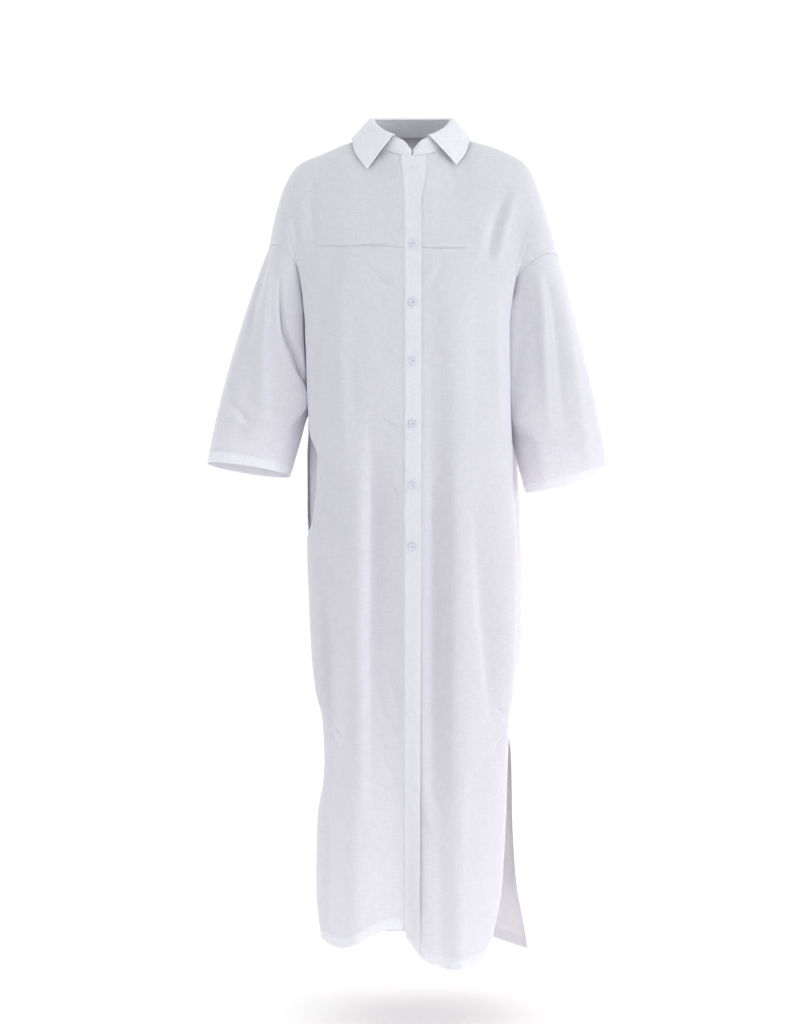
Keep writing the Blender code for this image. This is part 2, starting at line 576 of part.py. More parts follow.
def make_sleeve(side, made_of):
    """A sleeve tube with its hem turned up at the cuff."""
    name = "sleeve_right" if side == RIGHT else "sleeve_left"
    turn_row = 1 - HEM_TURN / SLEEVE_LENGTH
    v = np.concatenate([[0, .035, .09], np.linspace(.17, turn_row - 0.005, 8), [turn_row, 1.0]])
    turns = np.concatenate([UPPER_ROWS, 2 - UPPER_ROWS[-2:0:-1]])
    grid_t, grid_v = np.meshgrid(turns, v)

    def surface(a, b):
        return sleeve(side, a, b)

    points = surface(grid_t, grid_v)
    n = normals(surface, grid_t, grid_v, u_range=(-1.0, 3.0), v_range=(0.0, 1.0))
    middle = points.mean(axis=1, keepdims=True)
    if float(np.sum(n * (points - middle))) < 0:
        n = -n
    n[0] = n[1]
    down = points[1] - points[0]
    points[0] += SEAM_GAP * 1.5 * down / np.linalg.norm(down, axis=-1, keepdims=True)
    extra = HEM_EXTRA * (grid_v >= turn_row - 1e-9)
    return wall(name, points, n, extra, CLOTH, made_of, ring=True)


def neck_line(turn):
    """Neck seam at an angle from the centre front, positive towards the wearer's left."""
    side = np.where(turn < 0, RIGHT, LEFT)
    a = np.abs(turn)
    front = a <= math.pi / 2
    x = NECK_HALF_WIDTH * np.sin(a) * side
    y = np.where(front, -NECK_FRONT_DEPTH, -NECK_BACK_DEPTH) * np.cos(a)
    fall = np.maximum(np.cos(a), 0)
    z = np.where(front, -NECK_FRONT_DROP * fall ** NECK_CURVE, -NECK_BACK_RISE * np.cos(a))
    return stack(x, y, z)


def stand_height(turn):
    """Height of the collar stand: full round the neck, its front ends rounded down to a low V."""
    degrees = np.degrees(np.abs(turn))
    return smooth((0, 4, 9, 16, 28, 180), (0.0090, 0.0125, 0.0190, 0.0240, 0.0255, STAND_HEIGHT), degrees)


def stand(turn, rise):
    """Point of the stand: it rises from the neck seam and leans in towards the neck."""
    base = neck_line(turn)
    lean = STAND_LEAN * rise
    return base * np.stack([1 - lean, 1 - lean, np.ones(lean.shape)], axis=-1) + stack(
        0 * rise, 0 * rise, stand_height(turn) * rise + STAND_SEAT)


def make_stand(made_of):
    """The collar stand, open at the centre front, where its ends nearly meet."""
    half = np.concatenate([[1.2, 5, 9, 14, 20, 28], np.linspace(40, 180, 11)])
    turn = np.radians(np.concatenate([half, 360 - half[-2::-1]]))
    grid_t, grid_r = np.meshgrid(turn, np.linspace(0, 1, 4))

    def surface(a, b):
        return stand(np.where(a > math.pi, a - 2 * math.pi, a), b)

    n = normals(surface, grid_t, grid_r, u_range=(0.0, 2 * math.pi), v_range=(-1.0, 2.0))
    points = surface(grid_t, grid_r)
    if float(np.sum(n[..., :2] * points[..., :2])) < 0:
        n = -n
    return wall("collar_stand", points, n, 0.0, LEAF_THICKNESS, made_of)


def leaf_fold(turn):
    """Fold of the collar at an angle from the centre front: along the top of the stand."""
    return stand(turn, np.ones(turn.shape))


def leaf(share, t):
    """Point of the collar leaf: share runs from -1 at the right tip over 0 at the back to 1 at the left tip.

    Across, t is 0 inside the fold and 1 at the outer edge: up over the fold in a small roll, then
    down in a shallow bow to the edge.
    """
    share, t = np.broadcast_arrays(np.asarray(share, dtype=float), np.asarray(t, dtype=float))
    out = 1 - np.abs(share)
    left = share >= 0
    start = np.where(left, math.radians(LEAF_START_TURN[LEFT]), math.radians(LEAF_START_TURN[RIGHT]))
    turn = (start + (math.pi - start) * out) * np.where(left, 1, -1)
    inner = leaf_fold(turn)
    edge = stack(*[np.where(left, read(LEAF, "left_edge_" + axis, out), read(LEAF, "right_edge_" + axis, out))
                   for axis in "xyz"])
    away = np.stack([np.sin(turn), -np.cos(turn), np.zeros(turn.shape)], axis=-1)
    up = np.array([0.0, 0.0, 1.0])

    def rolled(angle):
        aside = away * ROLL_RADIUS * (1 - np.cos(angle))
        return inner + up * ROLL_LIFT + aside + up * ROLL_RADIUS * ROLL_FLATNESS * np.sin(angle)

    over = rolled(np.clip(t / ROLL_SHARE, 0, 1)[..., None] * ROLL_ANGLE)
    foot = rolled(ROLL_ANGLE)
    b = np.clip((t - ROLL_SHARE) / (1 - ROLL_SHARE), 0, 1)[..., None]
    fallen = foot + (edge - foot) * b + away * LEAF_BOW * np.sin(b * math.pi)
    return np.where((t <= ROLL_SHARE)[..., None], over, fallen)


def make_leaf(made_of):
    """The collar leaf, folded over the stand and lying on the shoulders."""
    out = np.array([0, .05, .11, .18, .27, .36, .46, .56, .66, .76, .88])
    share = np.concatenate([out - 1, [0.0], (1 - out)[::-1]])
    t = np.array([0, .10, .20, .30, .52, .76, 1.0])
    grid_s, grid_t = np.meshgrid(share, t)
    points = leaf(grid_s, grid_t)
    n = normals(leaf, grid_s, grid_t, u_range=(-1.0, 1.0), v_range=(0.0, 1.0))
    if float(n[-2, n.shape[1] // 2, 1]) < 0:
        n = -n
    return wall("collar_leaf", points, n, LEAF_THICKNESS, 0.0, made_of)


def pocket_bag(run, b):
    """Point of the pocket bag: run follows the columns of its table, b runs from its top to its foot.

    The first layer hangs inside the front from the front's edge at the mouth. The second comes back
    along it, and its last stretch crosses the mouth to the inside of the back's edge.
    """
    run, b = np.broadcast_arrays(np.asarray(run, dtype=float), np.asarray(b, dtype=float))
    u = read(POCKET, "share", run, "run")
    deep = (1 - u) / (1 - min(POCKET["share"]))
    foot = POCKET_BOTTOM - POCKET_DROP * read(POCKET_FOOT, "drop", deep, "deep")
    v = row_at(POCKET_TOP + (foot - POCKET_TOP) * b)

    def front(s, t):
        return body(FRONT, RIGHT, s, t)

    def back(s, t):
        return body(BACK, RIGHT, s, t)

    hung = front(u, v)
    inside = read(POCKET, "inward", run, "run")
    inside = inside + read(POCKET, "apart", run, "run") * read(POCKET_CLOSING, "open", b, "down")
    hung = hung - outward(normals(front, u, v), hung) * inside[..., None]
    crossing = np.clip(run - POCKET["run"][-2], 0, 1)[..., None]
    edge = back(np.full(u.shape, POCKET_BACK_SHARE), v)
    edge = edge - outward(normals(back, np.full(u.shape, POCKET_BACK_SHARE), v), edge) * POCKET["inward"][0]
    return hung * (1 - crossing) + edge * crossing


def make_pocket_bag(made_of):
    """The bag of the wearer's right side pocket: two layers, joined along the fold inside the front."""
    grid_r, grid_b = np.meshgrid(np.array(POCKET["run"]), POCKET_ROWS)
    points = pocket_bag(grid_r, grid_b)
    n = np.cross(np.gradient(points, axis=1), np.gradient(points, axis=0))
    n /= np.linalg.norm(n, axis=-1, keepdims=True)
    return wall("pocket_bag_right", points, n, POCKET_CLOTH / 2, POCKET_CLOTH / 2, made_of)


def make_button(number, level, made_of):
    """A flat round button with a raised rim, lying on the top band at the centre front."""
    def surface(a, b):
        return body(FRONT, LEFT, a, b)

    rows = np.linspace(0, SLIT_ROW, 401)
    heights = surface(np.zeros(rows.shape), rows)[:, 2]
    u, v = np.array([STEP]), np.array([np.interp(-level, -heights, rows)])
    n = normals(surface, u, v)[0]
    n = n if n[1] < 0 else -n
    up = np.cross(n, (1.0, 0.0, 0.0))
    up /= np.linalg.norm(up)
    aside = np.cross(up, n)
    base = surface(u, v)[0] + n * (PLACKET_LIFT + SEAM_GAP + BUTTON_SEAT)
    angle = np.arange(BUTTON_SIDES) * 2 * math.pi / BUTTON_SIDES
    rim = aside * np.cos(angle)[:, None] + up * np.sin(angle)[:, None]
    share, rise = (np.array(BUTTON_PROFILE[key]) for key in ("radius", "rise"))
    rings = base + n * (rise * BUTTON_THICKNESS)[:, None, None] + rim * (share * BUTTON_RADIUS)[:, None, None]
    middles = base + n * np.array([[rise[0]], [rise[-1]]]) * BUTTON_THICKNESS
    vertices = np.concatenate([rings.reshape(-1, 3), middles])
    under, over = len(vertices) - 2, len(vertices) - 1
    faces = []
    for k in range(BUTTON_SIDES):
        m = (k + 1) % BUTTON_SIDES
        for ring in range(len(share) - 1):
            low, high = ring * BUTTON_SIDES, (ring + 1) * BUTTON_SIDES
            faces.append((low + k, low + m, high + m, high + k))
        top = (len(share) - 1) * BUTTON_SIDES
        faces.append((under, m, k))
        faces.append((top + k, top + m, over))
    return add_object("button_%d" % number, vertices, faces, made_of)


for old in list(bpy.data.objects):
    bpy.data.objects.remove(old, do_unlink=True)

cotton = material("white cotton", (0.86, 0.87, 0.91))
shirting = material("white cotton, two layers", (0.90, 0.91, 0.94))
resin = material("white button resin", (0.88, 0.90, 0.93), roughness=0.35)

make_front(RIGHT, cotton)
make_front(LEFT, cotton)
make_back(cotton)
make_sleeve(RIGHT, cotton)
make_sleeve(LEFT, cotton)
make_band("placket_left", "under_right_edge", "under_left_edge", 0.0, UNDER_BAND_HEM, shirting)
make_band("placket_right", "top_right_edge", "top_left_edge", PLACKET_LIFT, TOP_BAND_HEM, shirting)
make_stand(shirting)
make_pocket_bag(cotton)
make_leaf(shirting)
for index, height in enumerate(BUTTON_LEVELS):
    make_button(index + 1, height, resin)
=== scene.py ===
"""Looks of a button-front maxi shirt dress in white cotton, worn and hollow, around its fixed CAD frame.

The file is laid out as an add-on and is run as a script. Every cloth piece is a thin shell: a surface
worked out from the same tables as the solids, with folds, creases and seams added along its normals.
Metres, +Z up. The front faces -Y, and the wearer's left is +X. Side -1 is the wearer's right.
"""

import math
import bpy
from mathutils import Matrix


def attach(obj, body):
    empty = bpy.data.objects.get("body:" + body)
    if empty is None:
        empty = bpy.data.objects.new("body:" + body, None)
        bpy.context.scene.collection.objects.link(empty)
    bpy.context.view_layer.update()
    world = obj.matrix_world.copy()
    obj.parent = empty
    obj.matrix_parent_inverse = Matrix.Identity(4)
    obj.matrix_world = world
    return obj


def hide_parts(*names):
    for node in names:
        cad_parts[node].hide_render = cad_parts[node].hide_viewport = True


bl_info = {
    "name": "Button-front maxi shirt dress",
    "version": (1, 0, 0),
    "blender": (4, 5, 0),
    "location": "3D Viewport > Sidebar > Shirt dress",
    "description": "Cloth, seams, stitching, collar and buttons of a worn cotton shirt dress",
    "category": "Object",
}

import bpy
import numpy as np

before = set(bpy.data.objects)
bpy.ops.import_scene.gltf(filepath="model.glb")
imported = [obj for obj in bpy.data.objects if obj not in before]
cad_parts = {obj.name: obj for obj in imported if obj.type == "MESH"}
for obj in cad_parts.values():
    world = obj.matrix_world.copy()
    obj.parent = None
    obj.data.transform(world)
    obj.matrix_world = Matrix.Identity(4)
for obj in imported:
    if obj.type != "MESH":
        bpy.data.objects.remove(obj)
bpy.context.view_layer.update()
BODY = "root"

RIGHT, LEFT = -1, 1
FRONT, BACK = "front", "back"
SIDE_NAMES = {RIGHT: "right", LEFT: "left"}

SEAM_GAP = 0.0003

NECK_HALF_WIDTH = 0.068
NECK_FRONT_DEPTH = 0.068
NECK_FRONT_DROP = 0.032
NECK_BACK_DEPTH = 0.066
NECK_BACK_RISE = 0.002
NECK_SHARE = 0.23
NECK_CURVE = 1.3
CHEST_LEVEL = -0.3
EDGE_SHARE = 0.78
ROUNDNESS = 0.62

PLACKET_LIFT = 0.0018
BUTTON_LEVELS = (-0.171, -0.262, -0.353, -0.454, -0.552, -0.651)
BUTTON_RADIUS = 0.0057
BUTTON_THICKNESS = 0.0022
BUTTON_SEAT = 0.0005

STAND_HEIGHT = 0.026
STAND_LEAN = 0.1
STAND_SEAT = 0.0009
LEAF_THICKNESS = 0.0013

POCKET_TOP, POCKET_BOTTOM = -0.47, -0.643
POCKET_DROP = 0.07

# Level of the top of the slits, its row down a panel, and the small step that measures directions.
SLIT_LEVEL = -0.95
SLIT_ROW = 1.62
STEP = 1e-4

# Where the shoulder line passes, from the neck over the shoulder and down the arm to the sleeve seam.
SHOULDER = {
    "share": (0.23, 0.34, 0.48, 0.6, 0.72, 0.86, 1.0),
    "right_out": (0.068, 0.0965, 0.1435, 0.184, 0.207, 0.222, 0.2317),
    "right_up": (0.0, -0.008, -0.027, -0.046, -0.083, -0.133, -0.1796),
    "left_out": (0.068, 0.0995, 0.15, 0.184, 0.204, 0.2215, 0.2375),
    "left_up": (0.0, -0.008, -0.0245, -0.046, -0.085, -0.138, -0.1958),
}

# How far each column of cloth runs on before it turns: leaving the shoulder line, and reaching the chest.
REACH_SIDEWAYS = {
    "share": (0.0, 0.12, 0.23, 0.34, 0.6, 0.7, 0.8, 0.9, 1.0),
    "leave_in": (0.0, 0.0, 0.0, 0.0, 0.0, 0.001, 0.003, 0.006, 0.01),
    "reach_side": (0.0, 0.0, 0.0, 0.0, 0.002, 0.003, 0.005, 0.008, 0.012),
}
REACH_FRONT = {
    **REACH_SIDEWAYS,
    "leave_out": (0.02, 0.034, 0.062, 0.07, 0.075, 0.08, 0.088, 0.099, 0.11),
    "leave_up": (-0.05, -0.04, -0.01, 0.0, 0.0, 0.004, 0.01, 0.02, 0.03),
    "reach_out": (0.0, 0.0, 0.0, 0.0, 0.005, 0.015, 0.038, 0.066, 0.085),
    "reach_up": (0.11, 0.12, 0.13, 0.13, 0.13, 0.127, 0.12, 0.108, 0.095),
}
REACH_BACK = {
    **REACH_SIDEWAYS,
    "leave_out": (0.034, 0.04, 0.058, 0.07, 0.08, 0.087, 0.096, 0.108, 0.12),
    "leave_up": (-0.03, -0.02, -0.006, 0.0, 0.0, 0.004, 0.01, 0.02, 0.03),
    "reach_out": (0.006, 0.008, 0.01, 0.012, 0.014, 0.024, 0.048, 0.078, 0.1),
    "reach_up": (0.14, 0.14, 0.14, 0.14, 0.14, 0.137, 0.13, 0.114, 0.095),
}

# Half widths of the body at each level: the front's rounded edge, the front's side seam, the back's
# side seam and the back's rounded edge. Under the arms the side is pushed in beside the sleeve.
SIDE_LEVELS = (-0.3, -0.36, -0.43, -0.475, -0.515, -0.56, -0.61, -0.65, -0.72,
               -0.82, -0.9, -0.95, -1.02, -1.13, -1.23, -1.31, -1.37)
RIGHT_SIDE = {
    "level": SIDE_LEVELS,
    "front_edge": (0.172, 0.1705, 0.168, 0.1655, 0.155, 0.1555, 0.16, 0.17, 0.1685,
                   0.1645, 0.157, 0.1485, 0.1455, 0.156, 0.1575, 0.152, 0.149),
    "front_seam": (0.1525, 0.1535, 0.159, 0.163, 0.153, 0.1535, 0.158, 0.1695, 0.167,
                   0.163, 0.1555, 0.1475, 0.144, 0.153, 0.153, 0.146, 0.142),
    "back_seam": (0.1525, 0.1535, 0.159, 0.1675, 0.1705, 0.1705, 0.1705, 0.168, 0.165,
                  0.161, 0.1545, 0.1475, 0.142, 0.14, 0.139, 0.138, 0.138),
    "back_edge": (0.162, 0.163, 0.167, 0.1715, 0.1715, 0.1715, 0.1705, 0.169, 0.1655,
                  0.1615, 0.155, 0.148, 0.1425, 0.141, 0.14, 0.139, 0.139),
}
LEFT_SIDE = {
    "level": SIDE_LEVELS,
    "front_edge": (0.157, 0.1575, 0.159, 0.1605, 0.163, 0.1635, 0.168, 0.1695, 0.172,
                   0.17, 0.166, 0.1595, 0.157, 0.1535, 0.148, 0.1345, 0.131),
    "front_seam": (0.1375, 0.1385, 0.1465, 0.153, 0.158, 0.16, 0.1645, 0.166, 0.169,
                   0.168, 0.164, 0.158, 0.155, 0.151, 0.145, 0.131, 0.127),
    "back_seam": (0.1375, 0.1385, 0.1465, 0.153, 0.158, 0.16, 0.1645, 0.166, 0.169,
                  0.168, 0.164, 0.158, 0.165, 0.168, 0.175, 0.189, 0.199),
    "back_edge": (0.147, 0.148, 0.158, 0.168, 0.1745, 0.176, 0.1785, 0.181, 0.184,
                  0.183, 0.175, 0.161, 0.169, 0.1715, 0.1785, 0.191, 0.2),
}
BODY_SIDES = {RIGHT: RIGHT_SIDE, LEFT: LEFT_SIDE}
# Depths from the middle plane, forwards at the centre front and backwards at the centre back, and how far
# forward each side seam lies.
DEPTHS = {
    "level": (-0.3, -0.43, -0.475, -0.52, -0.6, -0.65, -0.8, -0.95, -1.13, -1.37),
    "front": (0.128, 0.125, 0.124, 0.122, 0.12, 0.119, 0.115, 0.112, 0.108, 0.105),
    "back": (0.112, 0.108, 0.108, 0.108, 0.11, 0.111, 0.113, 0.115, 0.117, 0.12),
    "right_front_seam": (-0.008, -0.006, 0.01, 0.036, 0.034, 0.004, 0.0, 0.002, 0.014, 0.02),
    "right_back_seam": (-0.008, -0.006, -0.001, 0.006, 0.006, 0.003, -0.001, -0.002, -0.012, -0.016),
    "left_front_seam": (-0.008, -0.006, -0.003, 0.0, 0.0, 0.0, 0.0, 0.002, 0.014, 0.022),
    "left_back_seam": (-0.008, -0.006, -0.003, 0.0, 0.0, 0.0, 0.0, -0.002, -0.008, -0.01),
}
FRONT_EDGE_DEPTH = 0.05
BACK_EDGE_DEPTH = 0.054

# The largest folds: a fall from each side of the bust or from each shoulder blade, and the trough between
# them. Each has a distance to the wearer's left, a half width and its height at four levels, where a
# negative height is a trough.
FOLD_LEVELS = (-0.3, -0.6, -0.95, -1.37)
FOLDS = {
    FRONT: (
        (-0.092, 0.038, (0.006, 0.007, 0.013, 0.024)),
        (-0.014, 0.034, (-0.001, -0.004, -0.009, -0.018)),
        (0.088, 0.04, (0.006, 0.008, 0.015, 0.026)),
    ),
    BACK: (
        (-0.094, 0.036, (0.005, 0.006, 0.011, 0.018)),
        (0.002, 0.034, (-0.002, -0.004, -0.008, -0.014)),
        (0.098, 0.038, (0.005, 0.007, 0.013, 0.021)),
    ),
}

# Levels of the finished hems across each panel, from its centre to its side.
HEMS = {
    (FRONT, RIGHT): ((0.0, 0.1, 0.22, 0.34, 0.44, 0.56, 0.68, 1.0),
                     (-1.289, -1.284, -1.2925, -1.307, -1.3145, -1.3165, -1.311, -1.306)),
    (FRONT, LEFT): ((0.0, 0.06, 0.12, 0.19, 0.26, 0.37, 0.5, 0.66, 1.0),
                    (-1.31, -1.3325, -1.3405, -1.345, -1.346, -1.3455, -1.34, -1.324, -1.3)),
    (BACK, RIGHT): ((0.0, 0.5, 0.8, 1.0), (-1.344, -1.345, -1.343, -1.335)),
    (BACK, LEFT): ((0.0, 0.3, 0.45, 0.6, 0.75, 1.0), (-1.344, -1.35, -1.358, -1.3625, -1.36, -1.352)),
}
# Levels of the bands' own hems, at the wearer's right edge and at the left edge.
TOP_BAND_HEM = (-1.287, -1.303)
UNDER_BAND_HEM = (-1.3, -1.328)

# Edges of the two bands at each level, to the wearer's left of the centre front. The solid under band
# reaches farther out than the cloth one, whose seam the top band covers from just below the collar.
BANDS = {
    "level": (-0.03, -0.055, -0.085, -0.12, -0.42, -1.37),
    "top_left_edge": (0.003, 0.0075, 0.013, 0.0141, 0.0141, 0.0141),
    "top_right_edge": (-0.0212, -0.0184, -0.016, -0.0148, -0.0141, -0.0141),
    "under_left_edge": (0.0237, 0.0232, 0.019, 0.013, 0.0128, 0.0128),
    "under_right_edge": (-0.0045, -0.0048, -0.0052, -0.0085, -0.009, -0.009),
}

# The pocket bag, column by column: how far out on the front it hangs, how far inside the cloth's face the
# first layer lies, and how much farther in the second layer is. Its foot drops below the mouth by a share
# of POCKET_DROP that grows with the distance from the mouth, and the layers come together at top and foot.
POCKET = {
    "run": (0, 1, 2, 3, 4, 5, 6, 7, 8, 9, 10, 11, 12, 13, 14, 15, 16, 17),
    "share": (1.0, 0.92, 0.85, 0.78, 0.7, 0.61, 0.52, 0.42, 0.405, 0.42, 0.52, 0.61, 0.7, 0.78, 0.85, 0.92,
              1.0, 1.0),
    "inward": (0.0036,) * 3 + (0.0037,) + (0.0038,) * 9 + (0.0037,) + (0.0036,) * 4,
    "apart": (0.0,) * 7 + (0.0007, 0.005, 0.0093, 0.0116, 0.0126, 0.013, 0.0131, 0.013, 0.0126,
                           0.0114, 0.0114),
}
POCKET_FOOT = {"deep": (0, 0.2, 0.5, 1), "drop": (0, 0.55, 0.95, 1.0)}
POCKET_CLOSING = {"down": (0, 0.12, 0.5, 0.88, 1), "open": (0.14, 0.8, 1, 0.8, 0.14)}
POCKET_BACK_SHARE = 0.985

# Cuffs: the middle of the opening, the half width pointing to the body, the half depth pointing back.
CUFFS = {
    RIGHT: {
        "middle": (-0.266, -0.013, -0.538),
        "across": (0.067, 0.0, -0.0104),
        "back": (0.0, 0.05, -0.012),
    },
    LEFT: {
        "middle": (0.2545, -0.013, -0.5605),
        "across": (-0.068, 0.0, -0.0147),
        "back": (0.0, 0.05, -0.0035),
    },
}
# How far the sleeve runs on as it leaves the armhole and reaches the cuff, outside the arm and inside it.
SLEEVE_REACH = {
    "outside_leave": (0.041, 0.0, -0.102),
    "outside_reach": (0.02, 0.0, -0.115),
    "left_leave": (0.03, 0.0, -0.102),
    "left_reach": (0.02, 0.0, -0.115),
    "inside_leave": (0.01, 0.0, -0.13),
    "inside_reach": (0.026, 0.0, -0.08),
}
SLEEVE_CLEARANCE = 0.0018
# Above the chest the sleeve keeps this much more room, reached over this height.
SLEEVE_UPPER_ROOM = 0.006
SLEEVE_UPPER_RISE = 0.08
SLEEVE_SOFTNESS = 0.002
SLEEVE_LENGTH = 0.34

# The collar leaf, from the end of its fold at the front round to the centre back. Turn is the angle
# round the neck from the centre front. The fold lies on the stand, and the outer edge on the shoulders.
LEAF = {
    "share": (0.0, 0.18, 0.36, 0.55, 0.75, 1.0),
    "right_edge_x": (-0.0715, -0.0905, -0.0965, -0.0935, -0.06, 0.0),
    "right_edge_y": (-0.066, -0.046, -0.02, 0.028, 0.08, 0.0985),
    "right_edge_z": (-0.053, -0.026, -0.0045, -0.0035, -0.012, -0.014),
    "left_edge_x": (0.07, 0.085, 0.0925, 0.0915, 0.06, 0.0),
    "left_edge_y": (-0.066, -0.048, -0.021, 0.028, 0.08, 0.0985),
    "left_edge_z": (-0.046, -0.026, -0.0045, -0.0035, -0.012, -0.014),
}
LEAF_START_TURN = {RIGHT: 27.0, LEFT: 24.0}
# The fold's roll: its radius, how flat it is, how far round it goes, its share of the leaf and its lift,
# and how far the leaf below it bows out.
ROLL_RADIUS = 0.0034
ROLL_FLATNESS = 0.62
ROLL_ANGLE = 0.75 * math.pi
ROLL_SHARE = 0.3
ROLL_LIFT = 0.0004
LEAF_BOW = 0.0012


def smooth(xs, ys, x):
    """Value at x of a curve through the rows (xs, ys) that never swings past a row.

    Each stretch is a cubic whose end slopes are the harmonic mean of the slopes on both sides.
    """
    xs = np.asarray(xs, dtype=float)
    ys = np.asarray(ys, dtype=float)
    if xs[0] > xs[-1]:
        xs, ys = xs[::-1], ys[::-1]
    x = np.clip(np.asarray(x, dtype=float), xs[0], xs[-1])
    step = np.diff(xs)
    rise = np.diff(ys) / step
    slope = np.zeros(len(xs))
    slope[0], slope[-1] = rise[0], rise[-1]
    turn = rise[:-1] * rise[1:] > 0
    both = np.where(turn, rise[:-1] + rise[1:], 1.0)
    slope[1:-1] = np.where(turn, 2 * rise[:-1] * rise[1:] / both, 0.0)
    row = np.clip(np.searchsorted(xs, x, side="right") - 1, 0, len(xs) - 2)
    t = (x - xs[row]) / step[row]
    return (ys[row] * (1 + 2 * t) * (1 - t) ** 2 + ys[row + 1] * t * t * (3 - 2 * t)
            + step[row] * (slope[row] * t * (1 - t) ** 2 - slope[row + 1] * t * t * (1 - t)))


def read(table, key, at):
    """Value of a table's row at a place along its first row."""
    return smooth(next(iter(table.values())), table[key], at)


def lengths(steps):
    return np.linalg.norm(steps, axis=-1)


def bezier(a, b, c, d, t):
    """Point at t on the cubic that starts at a, heads for b, arrives from c and ends at d."""
    t = np.asarray(t)[..., None]
    return a * (1 - t) ** 3 + 3 * b * t * (1 - t) ** 2 + 3 * c * t * t * (1 - t) + d * t ** 3


def stack(x, y, z):
    return np.stack(np.broadcast_arrays(x, y, z), axis=-1).astype(float)


def fold_height(panel, x, level):
    """Sum of the panel's ridges and troughs at a place: each is a bell across and eases in downwards."""
    total = np.zeros(np.broadcast(x, level).shape)
    for across, half_width, heights in FOLDS[panel]:
        total = total + smooth(FOLD_LEVELS, heights, level) * np.exp(-((x - across) / half_width) ** 2)
    return total


def section(panel, side, u, level):
    """Point of the body at a level: u is 0 at the centre, EDGE_SHARE at the rounded edge, 1 at the side seam.

    The first stretch is a cubic from the centre to the edge. The second is a cubic that turns in
    from the edge to the seam and ends heading straight back, so front and back meet smoothly.
    """
    table, name = BODY_SIDES[side], SIDE_NAMES[side]
    edge = read(table, panel + "_edge", level)
    seam = read(table, panel + "_seam", level)
    depth = read(DEPTHS, panel, level)
    seam_depth = read(DEPTHS, name + "_" + panel + "_seam", level)
    if panel == BACK:
        seam_depth = -seam_depth
    edge_depth = FRONT_EDGE_DEPTH if panel == FRONT else BACK_EDGE_DEPTH
    q = np.clip(u / EDGE_SHARE, 0, 1)
    r = np.clip((u - EDGE_SHARE) / (1 - EDGE_SHARE), 0, 1)
    round_x = 3 * ROUNDNESS * edge * q * (1 - q) ** 2 + 3 * edge * q * q * (1 - q) + edge * q ** 3
    shoulder = edge_depth + ROUNDNESS * (depth - edge_depth)
    round_y = (depth * (1 - q) ** 3 + 3 * depth * q * (1 - q) ** 2
               + 3 * shoulder * q * q * (1 - q) + edge_depth * q ** 3)
    turn_x = edge + (seam - edge) * r * r * (3 - 2 * r)
    turn_y = edge_depth + (seam_depth - edge_depth) * r
    x = np.where(u <= EDGE_SHARE, round_x, turn_x) * side
    y = np.where(u <= EDGE_SHARE, round_y, turn_y)
    y = y + fold_height(panel, x, level) * np.clip((y - edge_depth) / (depth - edge_depth), 0, 1) ** 0.5
    return stack(x, y * (-1 if panel == FRONT else 1), level)


def top_edge(panel, side, u):
    """Top of a column: round the neck for small u, then along the shoulder line to the sleeve seam."""
    name = SIDE_NAMES[side]
    turn = np.clip(u / NECK_SHARE, 0, 1) * math.pi / 2
    if panel == FRONT:
        neck_y = -NECK_FRONT_DEPTH * np.cos(turn)
        neck_z = -NECK_FRONT_DROP * np.cos(turn) ** NECK_CURVE
    else:
        neck_y = NECK_BACK_DEPTH * np.cos(turn)
        neck_z = NECK_BACK_RISE * np.cos(turn)
    x = np.where(u < NECK_SHARE, NECK_HALF_WIDTH * np.sin(turn), read(SHOULDER, name + "_out", u))
    y = np.where(u < NECK_SHARE, neck_y, 0.0)
    z = np.where(u < NECK_SHARE, neck_z, read(SHOULDER, name + "_up", u))
    return stack(x * side, y, z)


def body(panel, side, u, v, hem=None):
    """Point of a front or back: v is 0 at the top edge, 1 at the chest level and 2 at the hem.

    Above the chest each column is a cubic from the top edge to the chest section. Below it the
    column follows the sections down to the hem.
    """
    u, v = np.broadcast_arrays(np.asarray(u, dtype=float), np.asarray(v, dtype=float))
    reach = REACH_FRONT if panel == FRONT else REACH_BACK
    out = -1 if panel == FRONT else 1
    start = top_edge(panel, side, u)
    chest = section(panel, side, u, np.full(u.shape, CHEST_LEVEL))
    held = {key: read(reach, key, u) for key in reach if key != "share"}
    leave = stack(-side * held["leave_in"], out * held["leave_out"], held["leave_up"])
    arrive = stack(side * held["reach_side"], out * held["reach_out"], held["reach_up"])
    upper = bezier(start, start + leave, chest + arrive, chest, np.clip(v, 0, 1))
    if hem is None:
        hem = smooth(*HEMS[(panel, side)], u)
    return np.where((v <= 1)[..., None], upper, section(panel, side, u, level_at(v, hem)))


def level_at(v, hem):
    """Level of a row: even steps from the chest to the top of the slits, then even steps to the hem."""
    closed = CHEST_LEVEL + (SLIT_LEVEL - CHEST_LEVEL) * (v - 1) / (SLIT_ROW - 1)
    opened = SLIT_LEVEL + (hem - SLIT_LEVEL) * (v - SLIT_ROW) / (2 - SLIT_ROW)
    return np.where(v <= SLIT_ROW, closed, opened)


def row_at(level):
    """Row of a level between the chest and the top of the slits."""
    return 1 + (SLIT_ROW - 1) * (level - CHEST_LEVEL) / (SLIT_LEVEL - CHEST_LEVEL)


